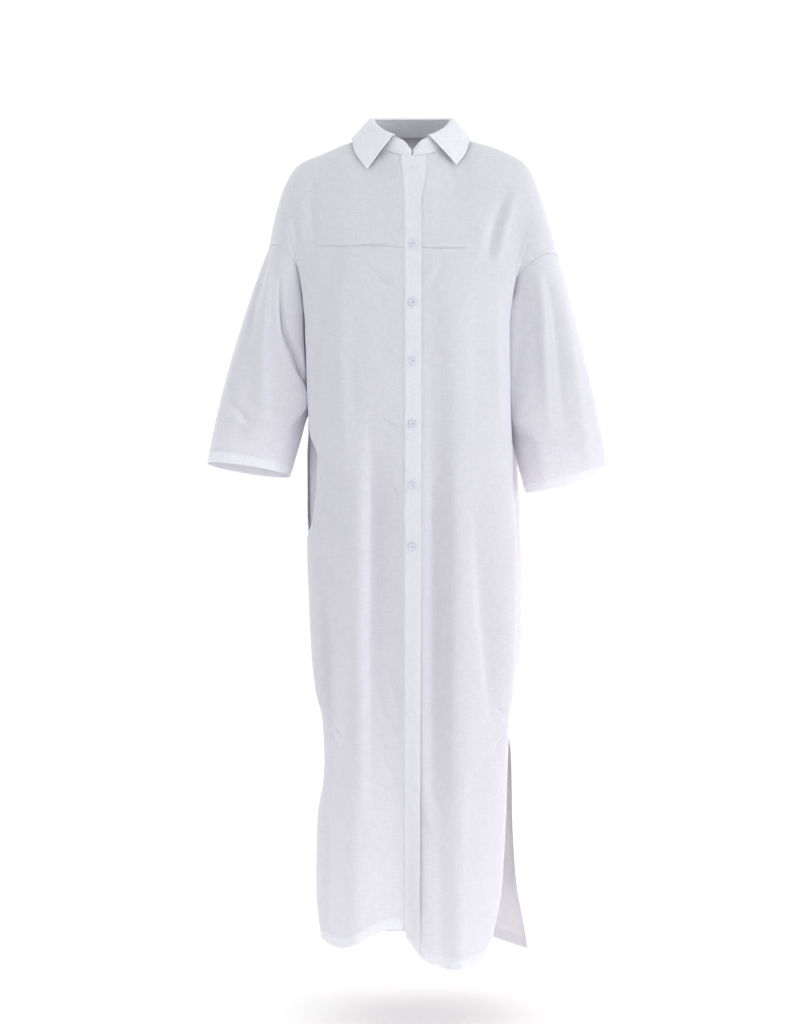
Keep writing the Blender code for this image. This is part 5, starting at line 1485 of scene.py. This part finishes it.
def studio_floor(name, colour):
    """Matt painted studio floor: pale, even, with a faint roller texture."""
    made, tree = new_material(name)
    place = add(tree, "TexCoord")
    paint = add(tree, "TexNoise", Vector=place.outputs[3], Scale=60.0, Detail=3.0)
    bump = add(tree, "Bump", Strength=0.05, Distance=0.001, Height=paint.outputs[0])
    tint = scaled(tree, colour[:3], paint.outputs[0], 0.995, 1.0)
    return finished(made, Base_Color=tint, Roughness=0.9, Normal=bump.outputs[0], Specular_IOR_Level=0.1)


# Sizes and colours that a user would change.


def length_property(name, description, default, low, high):
    return bpy.props.FloatProperty(name=name, description=description, default=default, min=low, max=high,
                                   subtype="DISTANCE", unit="LENGTH")


def share_property(name, description, high):
    return bpy.props.FloatProperty(name=name, description=description, default=1.0, min=0.0, max=high,
                                   subtype="FACTOR")


def colour_property(name, description, hex_colour):
    return bpy.props.FloatVectorProperty(name=name, description=description, default=linear(hex_colour),
                                         size=4, min=0.0, max=1.0, subtype="COLOR")


class DressSizes(bpy.types.PropertyGroup):
    """Sizes of the cloth and of its sewing."""

    cloth: length_property("Cloth", "Thickness that the thin cloth shells are drawn with",
                           0.0006, 0.0002, 0.0012)
    doubled: length_property("Doubled cloth", "Thickness of bands, collar and other doubled cloth",
                             0.0010, 0.0004, 0.0013)
    folds: share_property("Folds", "How strongly the placed folds show, as a share of their own heights", 1.3)
    crumple: share_property("Crumpling", "How strongly the fine crumpling shows", 2.0)
    stitch_pitch: length_property("Stitch pitch", "Distance from one stitch to the next",
                                  0.0030, 0.0015, 0.0060)


class DressColours(bpy.types.PropertyGroup):
    """Colours of the finishes, as sRGB."""

    cotton: colour_property("Cotton", "Colour of the single cloth", "D8D7E2")
    doubled_cotton: colour_property("Doubled cotton", "Colour of the cloth in two or more layers", "DCDDE6")
    thread: colour_property("Thread", "Colour of the sewing thread", "E6E6EC")
    button: colour_property("Button", "Colour of the button resin", "C9D0DB")
    floor: colour_property("Floor", "Colour of the floor", "FFFFFF")


def sizes():
    return bpy.context.scene.dress_sizes


def finish_of(kind):
    """Material for a kind of finish, made at its first use."""
    colours = bpy.context.scene.dress_colours
    made = bpy.data.materials.get(FINISHES[kind])
    if made is not None:
        return made
    if kind == "cotton":
        return cotton(FINISHES[kind], tuple(colours.cotton), tuple(colours.doubled_cotton))
    make = {"thread": sewing_thread, "button": button_resin, "floor": studio_floor}[kind]
    return make(FINISHES[kind], tuple(getattr(colours, kind)))


FINISHES = {
    "cotton": "washed white cotton shirting, plain woven",
    "thread": "mercerised cotton sewing thread, twisted",
    "button": "polyester button resin, cast and tumbled",
    "floor": "matt studio paint, rolled",
}


def seat(piece, slot, *nodes):
    """Rides a piece on the dress and hides the solids it stands for; the slot is not used."""
    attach(piece, BODY)
    if nodes:
        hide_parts(*nodes)


def spaced(*stretches):
    """Steps along a parameter: each stretch is its start, its end and its number of steps."""
    parts = [np.linspace(a, b, count, endpoint=False) for a, b, count in stretches]
    return np.concatenate(parts + [[stretches[-1][1]]])


def cloth_rows(counts):
    """Rows down a front or the back, closer together by the pressed crease and at the hem."""
    ends = (0.0, 0.55, 0.69, 1.0, SLIT_ROW, 1.94, 2.0)
    return spaced(*zip(ends[:-1], ends[1:], counts))


def layer_count(distance, v):
    """How doubled the cloth is at a point: 1 within a felled seam's strip, 0 away from seams."""
    wide = np.where(v < 1, ARMHOLE_STRIP, SEAM_STITCH)
    return 1 - ease(wide - 0.0005, wide + 0.0010, distance)


def sewn_down(surface, relief, u, v, reach=0.004):
    """Line of sewing down the cloth: the middle column of a narrow strip of the finished surface."""
    strip = u[:, None] + np.array([-reach, 0.0, reach])
    points, n = raised(surface, relief, strip, np.repeat(v[:, None], 3, axis=1))
    return points[:, 1], n[:, 1]


def sewn_across(surface, relief, u, v, reach=0.002, ring=False):
    """Line of sewing across the cloth: the middle row of a narrow strip of the finished surface."""
    strip = v[None, :] + np.array([[-reach], [0.0], [reach]])
    points, n = raised(surface, relief, np.repeat(u[None, :], 3, axis=0), strip, ring)
    return points[1], n[1]


def share_of(surface, v, distance, edge=1.0, inner=-1.0):
    """Share across the cloth that lies at a distance from its edge, at each row."""
    nudge = 0.01
    edge_u = np.full(v.shape, edge)
    width = lengths(surface(edge_u, v) - surface(edge_u + inner * nudge, v)) / nudge
    return edge + inner * distance / width


def row_above(surface, u, distance):
    """Row that lies at a distance above the hem, at each column."""
    nudge = 0.01
    foot = np.full(u.shape, 2.0)
    height = lengths(surface(u, foot) - surface(u, foot - nudge)) / nudge
    return 2.0 - distance / height


def panel_sewing(surface, relief, sides, inner_share):
    """Sewing lines of a front or the back: beside the armholes, down the slits and along the hem."""
    lines = []
    for edge in sides:
        inner = -1.0 if edge > 0 else 1.0
        for start, end, count, distance in PANEL_LINES:
            rows = np.linspace(start, end, count)
            lines.append(sewn_down(surface, relief, share_of(surface, rows, distance, edge, inner), rows))
    across = np.linspace(inner_share, max(sides) - HEM_LINE_INSET, HEM_LINE_POINTS)
    lines.append(sewn_across(surface, relief, across, row_above(surface, across, HEM_STITCH)))
    return lines


def tacks(surface, relief, edges):
    """Bar tacks where the slits start: a few close stitches across the top of the slit."""
    lines = []
    for edge in edges:
        inner = -1.0 if edge > 0 else 1.0
        for number in range(TACK_STITCHES):
            v = np.full(TACK_POINTS, SLIT_ROW + TACK_START - TACK_STEP * number)
            u = share_of(surface, v, np.linspace(TACK_INSET, TACK_WIDTH, TACK_POINTS), edge, inner)
            lines.append(sewn_across(surface, relief, np.sort(u), v))
    return lines


# Sewing down a panel, beside the armhole, the side seam and the slit: the rows where each line starts and
# ends, its number of points and its distance from the edge. Then the sewing along the hem.
PANEL_LINES = (
    (0.004, 0.99, 160, 0.0021),
    (1.004, SLIT_ROW - 0.004, 260, 0.0044),
    (SLIT_ROW + 0.003, 1.992, 150, 0.008),
)
HEM_LINE_INSET, HEM_LINE_POINTS = 0.03, 300
# Bar tacks: their stitches, how far in from the edge they start and end, and their rows.
TACK_STITCHES = 5
TACK_POINTS = 6
TACK_INSET = 0.0004
TACK_WIDTH = 0.008
TACK_START = 0.0012
TACK_STEP = 0.0008
TACK_THREAD = {"pitch": 0.002, "length": 0.0019}
# Buttonholes: half their length, how far to each side the stitches lie, and the stitches' spacing and length.
BUTTONHOLE_HALF = 0.008
BUTTONHOLE_ASIDE = 0.0012
BUTTONHOLE_PITCH = 0.0006
SATIN_LENGTH = 0.0013
SATIN_RADIUS = 0.0002


def buttonholes(surface, relief):
    """Satin stitches down both sides of each upright buttonhole in the top band."""
    steps = np.arange(-BUTTONHOLE_HALF, BUTTONHOLE_HALF, BUTTONHOLE_PITCH)
    level = (np.array(BUTTON_LEVELS)[:, None] + steps[None, :]).ravel()
    v = centre_row_at(level)
    right_edge = read(BANDS, "top_right_edge", level)
    wide = read(BANDS, "top_left_edge", level) - right_edge
    lines = []
    for aside in (-BUTTONHOLE_ASIDE, BUTTONHOLE_ASIDE):
        x = aside + np.linspace(-0.5, 0.5, 5) * SATIN_LENGTH
        s = (x[None, :] - right_edge[:, None]) / wide[:, None]
        points, n = raised(surface, relief, s, np.repeat(v[:, None], 5, axis=1))
        lines += list(zip(points, n))
    return lines


def leaf_sewing():
    """Edge stitching of the collar leaf: along its outer edge and along both front edges."""
    nudge = 0.01
    share = np.linspace(-1.0, 1.0, 400)
    edge = np.ones(share.shape)
    fallen = lengths(leaf(share, edge) - leaf(share, edge - nudge)) / nudge
    fall_at = 1 - COLLAR_STITCH / fallen
    t = np.linspace(0.36, 0.99, 60)
    lines = []
    ends = []
    for side in (-1.0, 1.0):
        tip = np.full(t.shape, side)
        wide = lengths(leaf(tip, t) - leaf(tip * (1 - nudge), t)) / nudge
        ends.append(float(1 - COLLAR_STITCH / wide[-1]))
        inside = t < np.interp(side, share, fall_at)
        lines.append(sewn_down(leaf, leaf_relief, (side * (1 - COLLAR_STITCH / wide))[inside], t[inside]))
    held = (share > -ends[0]) & (share < ends[1])
    lines.append(sewn_across(leaf, leaf_relief, share[held], fall_at[held]))
    return [(points + n * LEAF_THICKNESS, n) for points, n in lines]


def sew(title, lines, slot, **settings):
    """One piece of sewing thread from lines of stitches, riding on the dress."""
    settings.setdefault("pitch", sizes().stitch_pitch)
    seat(thread(title, lines, finish_of("thread"), **settings), slot)


def cut_cloth(title, points, thickness, layers, slot, node, held="hung", ring=False, **settings):
    """One piece of cloth from the grid of its outer face, riding on the dress; how it is held is not used."""
    piece = shell(title, points, thickness, finish_of("cotton"), layers, ring=ring, **settings)
    seat(piece, slot, node)


def hung_panel(title, node, surface, relief, u, v, edges, inner_share):
    """A front or the back from its surface and relief: the cloth, its sewing and its bar tacks."""
    points, _ = raised(surface, relief, u, v)
    to_side = (1 - np.abs(u)) * lengths(np.gradient(points, axis=1)) / np.gradient(u, axis=1)
    hem = in_hem(np.abs(points[..., 2] - points[-1:, :, 2]))
    cut_cloth(title, points, sizes().cloth + HEM_FOLD_EXTRA * hem, np.maximum(layer_count(to_side, v), hem),
              "cotton", node, lay=grain(points))
    sewn = "back" if node == "back" else title
    sew(sewn + "_sewing", panel_sewing(surface, relief, edges, inner_share), "cotton")
    sew(sewn + "_tacks", tacks(surface, relief, edges), "cotton", **TACK_THREAD)


# Grids of the pieces. Each stretch of rows or columns is its start, its end and its number of steps.
FRONT_ROWS = (54, 52, 32, 160, 80, 28)
FRONT_COLUMNS = ((0.0, 0.1, 8), (0.1, 0.86, 62), (0.86, 1.0, 16))
BACK_ROWS = (44, 40, 26, 130, 66, 26)
BACK_COLUMNS = ((0.0, 0.86, 50), (0.86, 1.0, 12))
SLEEVE_ROWS = ((0.0, 0.06, 10), (0.06, 0.9, 96), (0.9, 1.0, 26))
SLEEVE_COLUMNS = 150
CUFF_STEPS = 400
BAND_ROWS = ((0.0, 0.9, 120), (0.9, SLIT_ROW, 190), (SLIT_ROW, 1.95, 90), (1.95, 2.0, 20))
BAND_COLUMNS = 33
BAND_SMOOTHING = 110
STAND_TURNS = ((1.2, 30, 30), (30, 330, 150), (330, 358.8, 30))
STAND_ROWS = 12
LEAF_ROWS = ((0.0, ROLL_SHARE, 12), (ROLL_SHARE, 0.8, 16), (0.8, 1.0, 12))
LEAF_COLUMNS = ((-1.0, -0.9, 16), (-0.9, 0.9, 150), (0.9, 1.0, 16))
BAG_ROWS, BAG_COLUMNS = 60, 120
# Folds fade out this close to the bands. The hem's sewing starts this far from them, or from this share.
BAND_CALM = 0.01
FRONT_HEM_INSET = 0.002
BACK_HEM_START = -0.97


class MakeFronts(bpy.types.Operator):
    """Makes the two fronts of the dress, from the bands to the side seams, with their folds."""

    bl_idname = "dress.make_fronts"
    bl_label = "Fronts"

    def execute(self, context):
        fronts = ((RIGHT, "top_right_edge", "front_right", "right_front"),
                  (LEFT, "under_left_edge", "front_left", "left_front"))
        for side, key, name, title in fronts:
            rows = cloth_rows(FRONT_ROWS)
            level = body(FRONT, side, np.zeros(rows.shape), rows)[:, 2]
            start = share_at(side, np.abs(read(BANDS, key, level)) + SEAM_GAP, rows, None)
            u = start[:, None] + (1 - start[:, None]) * spaced(*FRONT_COLUMNS)[None, :]
            v = np.broadcast_to(rows[:, None], u.shape)
            surface = panel_surface(FRONT, side)

            def relief(a, b, p, width, height):
                total = body_relief(FRONT, side, a, b, p, width, height)
                from_band = np.abs(np.abs(p[..., 0]) - np.abs(read(BANDS, key, p[..., 2])))
                return total * ease(0.0, BAND_CALM, from_band)

            hung_panel(title, name, surface, relief, u, v, (1.0,), float(start[-1]) + FRONT_HEM_INSET)
        return {"FINISHED"}


class MakeBack(bpy.types.Operator):
    """Makes the back in one piece, from side seam to side seam, with its folds."""

    bl_idname = "dress.make_back"
    bl_label = "Back"

    def execute(self, context):
        half = spaced(*BACK_COLUMNS)
        u, v = np.meshgrid(np.concatenate([-half[:0:-1], half]), cloth_rows(BACK_ROWS))

        def relief(a, b, p, width, height):
            return body_relief(BACK, LEFT, np.abs(a), b, p, width, height)

        hung_panel("back_panel", "back", panel_surface(BACK), relief, u, v, (-1.0, 1.0), BACK_HEM_START)
        return {"FINISHED"}


class MakeSleeves(bpy.types.Operator):
    """Makes the two wide sleeves with their folds and turned cuffs."""

    bl_idname = "dress.make_sleeves"
    bl_label = "Sleeves"

    def execute(self, context):
        sleeves = ((RIGHT, "sleeve_right", "right_sleeve"), (LEFT, "sleeve_left", "left_sleeve"))
        for side, name, title in sleeves:
            t, v = np.meshgrid(np.arange(0, 2, 2 / SLEEVE_COLUMNS), spaced(*SLEEVE_ROWS))
            surface = sleeve_surface(side)

            def relief(a, b, p, width, height):
                return sleeve_relief(side, a, b, p, width, height)

            points, _ = raised(surface, relief, t, v, ring=True)
            first = points[1] - points[0]
            points[0] += SEAM_GAP * 1.5 * first / np.linalg.norm(first, axis=-1, keepdims=True)
            hem = in_hem((1 - v) * SLEEVE_LENGTH)
            cut_cloth(title, points, sizes().cloth + HEM_FOLD_EXTRA * hem, hem, "cotton", name, ring=True)
            around = np.arange(0, 2, 2 / CUFF_STEPS)
            cuff = np.full(around.shape, 1 - HEM_STITCH / SLEEVE_LENGTH)
            line, up = sewn_across(surface, relief, around, cuff, ring=True)
            lines = [(np.concatenate([line, line[:1]]), np.concatenate([up, up[:1]]))]
            sew(title + "_sewing", lines, "cotton")
        return {"FINISHED"}


class MakeBands(bpy.types.Operator):
    """Makes the under band and the top band of the opening, with stitched and puckered edges."""

    bl_idname = "dress.make_bands"
    bl_label = "Bands"

    def execute(self, context):
        bands = (
            ("placket_left", "under_band", "under_right_edge", "under_left_edge", UNDER_BAND_HEM, 0.0, 41),
            ("placket_right", "top_band", "top_right_edge", "top_left_edge", TOP_BAND_HEM, PLACKET_LIFT, 45),
        )
        for name, title, right_key, left_key, hems, lift, seed in bands:
            s, v = np.meshgrid(np.linspace(0, 1, BAND_COLUMNS), spaced(*BAND_ROWS))
            surface = band_surface(right_key, left_key, hems)
            relief = band_relief(lift, seed)
            points, _ = raised(surface, relief, s, v, away=FROM_MIDDLE_PLANE, passes=BAND_SMOOTHING)
            cut_cloth(title, points, sizes().doubled, 1.0, "doubled_cotton", name, away=FROM_MIDDLE_PLANE)
            down = np.linspace(0.003, 1.985, 700)
            lines = [sewn_down(surface, relief, share_of(surface, down, BAND_STITCH, edge, inner), down, 0.04)
                     for edge, inner in ((0.0, 1.0), (1.0, -1.0))]
            sew(title + "_sewing", lines, "doubled_cotton")
            if lift:
                sew("buttonhole_sewing", buttonholes(surface, relief), "doubled_cotton",
                    pitch=SATIN_LENGTH, length=SATIN_LENGTH, radius=SATIN_RADIUS)
        return {"FINISHED"}


class MakeCollar(bpy.types.Operator):
    """Makes the collar stand and the leaf that folds over it."""

    bl_idname = "dress.make_collar"
    bl_label = "Collar"

    def execute(self, context):
        turn, rise = np.meshgrid(np.radians(spaced(*STAND_TURNS)), np.linspace(0, 1, STAND_ROWS))
        points, n = raised(stand_surface, stand_relief, turn, rise)
        cut_cloth("stand_of_collar", points, sizes().doubled, 1.0, "doubled_cotton", "collar_stand")
        lines = [(points[k], n[k]) for k in (1, STAND_ROWS - 2)]
        sew("stand_sewing", lines, "doubled_cotton")
        share, t = np.meshgrid(spaced(*LEAF_COLUMNS), spaced(*LEAF_ROWS))
        points, n = raised(leaf, leaf_relief, share, t)
        up = n[-2, n.shape[1] // 2, 1] > 0
        points = points + (n if up else -n) * LEAF_THICKNESS
        cut_cloth("leaf_of_collar", points, LEAF_THICKNESS, 1.0, "doubled_cotton", "collar_leaf", "folded")
        sew("leaf_sewing", leaf_sewing(), "doubled_cotton")
        return {"FINISHED"}


class MakePocket(bpy.types.Operator):
    """Makes the bag of the pocket in the wearer's right side seam."""

    bl_idname = "dress.make_pocket"
    bl_label = "Pocket"

    def execute(self, context):
        run, b = np.meshgrid(np.linspace(0, POCKET["run"][-1], BAG_COLUMNS), np.linspace(0, 1, BAG_ROWS))
        points = pocket_bag(run, b)
        cut_cloth("side_pocket_bag", points, sizes().cloth, 0.0, "cotton", "pocket_bag_right", "folded")
        return {"FINISHED"}


class MakeButtons(bpy.types.Operator):
    """Makes the six four-hole buttons and the thread that sews them on."""

    bl_idname = "dress.make_buttons"
    bl_label = "Buttons"

    def execute(self, context):
        for number, level in enumerate(BUTTON_LEVELS, start=1):
            twist = BUTTON_TWIST * math.sin(TWIST_TURN * number)
            piece = turned("shirt_button_%d" % number, button_points(level, twist), finish_of("button"))
            seat(piece, "button_resin", "button_%d" % number)
            sew("button_thread_%d" % number, button_threads(level, twist), "doubled_cotton", **STRAND_THREAD)
        return {"FINISHED"}


def turned(name, rings, made_of):
    """Closed round piece from rings of points whose first and last rings have no width."""
    vertices = np.concatenate([rings[0, :1], rings[1:-1].reshape(-1, 3), rings[-1, :1]])
    count, steps = rings.shape[0] - 2, rings.shape[1]
    i, j = cells(count - 1, steps)
    k = (j + 1) % steps
    quads = 1 + np.stack([i * steps + j, (i + 1) * steps + j, (i + 1) * steps + k, i * steps + k], axis=1)
    m = np.arange(steps)
    after = (m + 1) % steps
    last = len(vertices) - 1
    under = np.stack([0 * m, 1 + m, 1 + after], axis=1)
    over = np.stack([0 * m + last, 1 + (count - 1) * steps + after, 1 + (count - 1) * steps + m], axis=1)
    middle = vertices.mean(axis=0)
    p = vertices[quads[:, :3]]
    facing = np.sum(np.cross(p[:, 1] - p[:, 0], p[:, 2] - p[:, 0]) * (p.mean(axis=1) - middle))
    faces = quads.tolist() + under.tolist() + over.tolist()
    if facing < 0:
        faces = [face[::-1] for face in faces]
    return mesh_of(name, vertices, faces, made_of, sharp=BUTTON_SHARP_ANGLE)


# Floor, then the camera at the photograph's angle, with the photograph's height and focal length in pixels.
FLOOR_LEVEL = -1.46
FLOOR_HALF_WIDTH = 40.0
CAMERA_PLACE = (-0.0275, -4.074, -0.15)
CAMERA_PITCH = math.radians(6.422)
PHOTO_HEIGHT = 1024
FOCAL_PIXELS = 2500
SENSOR_HEIGHT = 36.0
AIR_COLOUR = "FFFFFF"
AIR_STRENGTH = 1.03
# Lights: name, place, what they look at, size, watts, spread in degrees and colour.
LIGHTS = (
    ("key", (3.2, -2.5, -0.2), (0.0, 0.0, -0.8), 1.3, 38.0, 180.0, "FFFFFF"),
    ("low", (0.3, -3.6, -1.25), (0.0, 0.0, -1.35), 0.8, 0.3, 34.0, "FFD2A6"),
    ("behind", (1.7, 2.4, -0.9), (0.1, 0.1, -1.2), 0.8, 26.0, 180.0, "FFE6D6"),
)


class MakeStage(bpy.types.Operator):
    """Makes the pale floor, the soft studio lights and the camera at the photograph's angle."""

    bl_idname = "dress.make_stage"
    bl_label = "Stage"

    def execute(self, context):
        scene = context.scene
        ends = np.array([-FLOOR_HALF_WIDTH, FLOOR_HALF_WIDTH])
        x, y = np.meshgrid(ends, ends)
        points = stack(x, y, np.full(x.shape, FLOOR_LEVEL))
        floor = new_mesh("studio_floor", points.reshape(-1, 3), np.array([[0, 1, 3, 2]]), None, None,
                         finish_of("floor"))

        world = bpy.data.worlds.new("studio air")
        world.use_nodes = True
        backdrop = world.node_tree.nodes["Background"]
        backdrop.inputs["Color"].default_value = linear(AIR_COLOUR)
        backdrop.inputs["Strength"].default_value = AIR_STRENGTH
        scene.world = world
        for light in LIGHTS:
            add_light(*light)

        camera = bpy.data.cameras.new("camera")
        camera.sensor_fit = "VERTICAL"
        camera.sensor_height = SENSOR_HEIGHT
        camera.lens = FOCAL_PIXELS * SENSOR_HEIGHT / PHOTO_HEIGHT
        holder = bpy.data.objects.new("camera", camera)
        holder.location = CAMERA_PLACE
        holder.rotation_euler = (math.pi / 2 - CAMERA_PITCH, 0.0, 0.0)
        scene.collection.objects.link(holder)
        scene.camera = holder
        scene.view_settings.view_transform = "Standard"
        return {"FINISHED"}


def add_light(name, place, target, size, power, spread, colour):
    """Square area light that looks at a target and spreads its light over an angle in degrees."""
    lamp = bpy.data.lights.new(name, "AREA")
    lamp.size = size
    lamp.energy = power
    lamp.spread = math.radians(spread)
    lamp.color = linear(colour)[:3]
    holder = bpy.data.objects.new(name, lamp)
    holder.location = place
    aim = np.array(target) - np.array(place)
    tilt = math.atan2(math.hypot(aim[0], aim[1]), -aim[2])
    holder.rotation_euler = (tilt, 0.0, math.atan2(aim[0], -aim[1]) + math.pi)
    bpy.context.scene.collection.objects.link(holder)


class DressPanel(bpy.types.Panel):
    """Lists the steps that make the dress, with its sizes and colours."""

    bl_idname = "VIEW3D_PT_shirt_dress"
    bl_label = "Shirt dress"
    bl_space_type = "VIEW_3D"
    bl_region_type = "UI"
    bl_category = "Shirt dress"

    def draw(self, context):
        for made in OPERATORS:
            self.layout.operator(made.bl_idname)
        for group in (context.scene.dress_sizes, context.scene.dress_colours):
            for name in group.__annotations__:
                self.layout.prop(group, name)


OPERATORS = (MakeFronts, MakeBack, MakeSleeves, MakeBands, MakeCollar, MakePocket, MakeButtons, MakeStage)
CLASSES = (DressSizes, DressColours) + OPERATORS + (DressPanel,)


def register():
    for made in CLASSES:
        bpy.utils.register_class(made)
    bpy.types.Scene.dress_sizes = bpy.props.PointerProperty(type=DressSizes)
    bpy.types.Scene.dress_colours = bpy.props.PointerProperty(type=DressColours)


def unregister():
    del bpy.types.Scene.dress_sizes
    del bpy.types.Scene.dress_colours
    for made in reversed(CLASSES):
        bpy.utils.unregister_class(made)


def main():
    register()
    for made in OPERATORS:
        group, name = made.bl_idname.split(".")
        getattr(getattr(bpy.ops, group), name)()


if __name__ == "__main__":
    main()
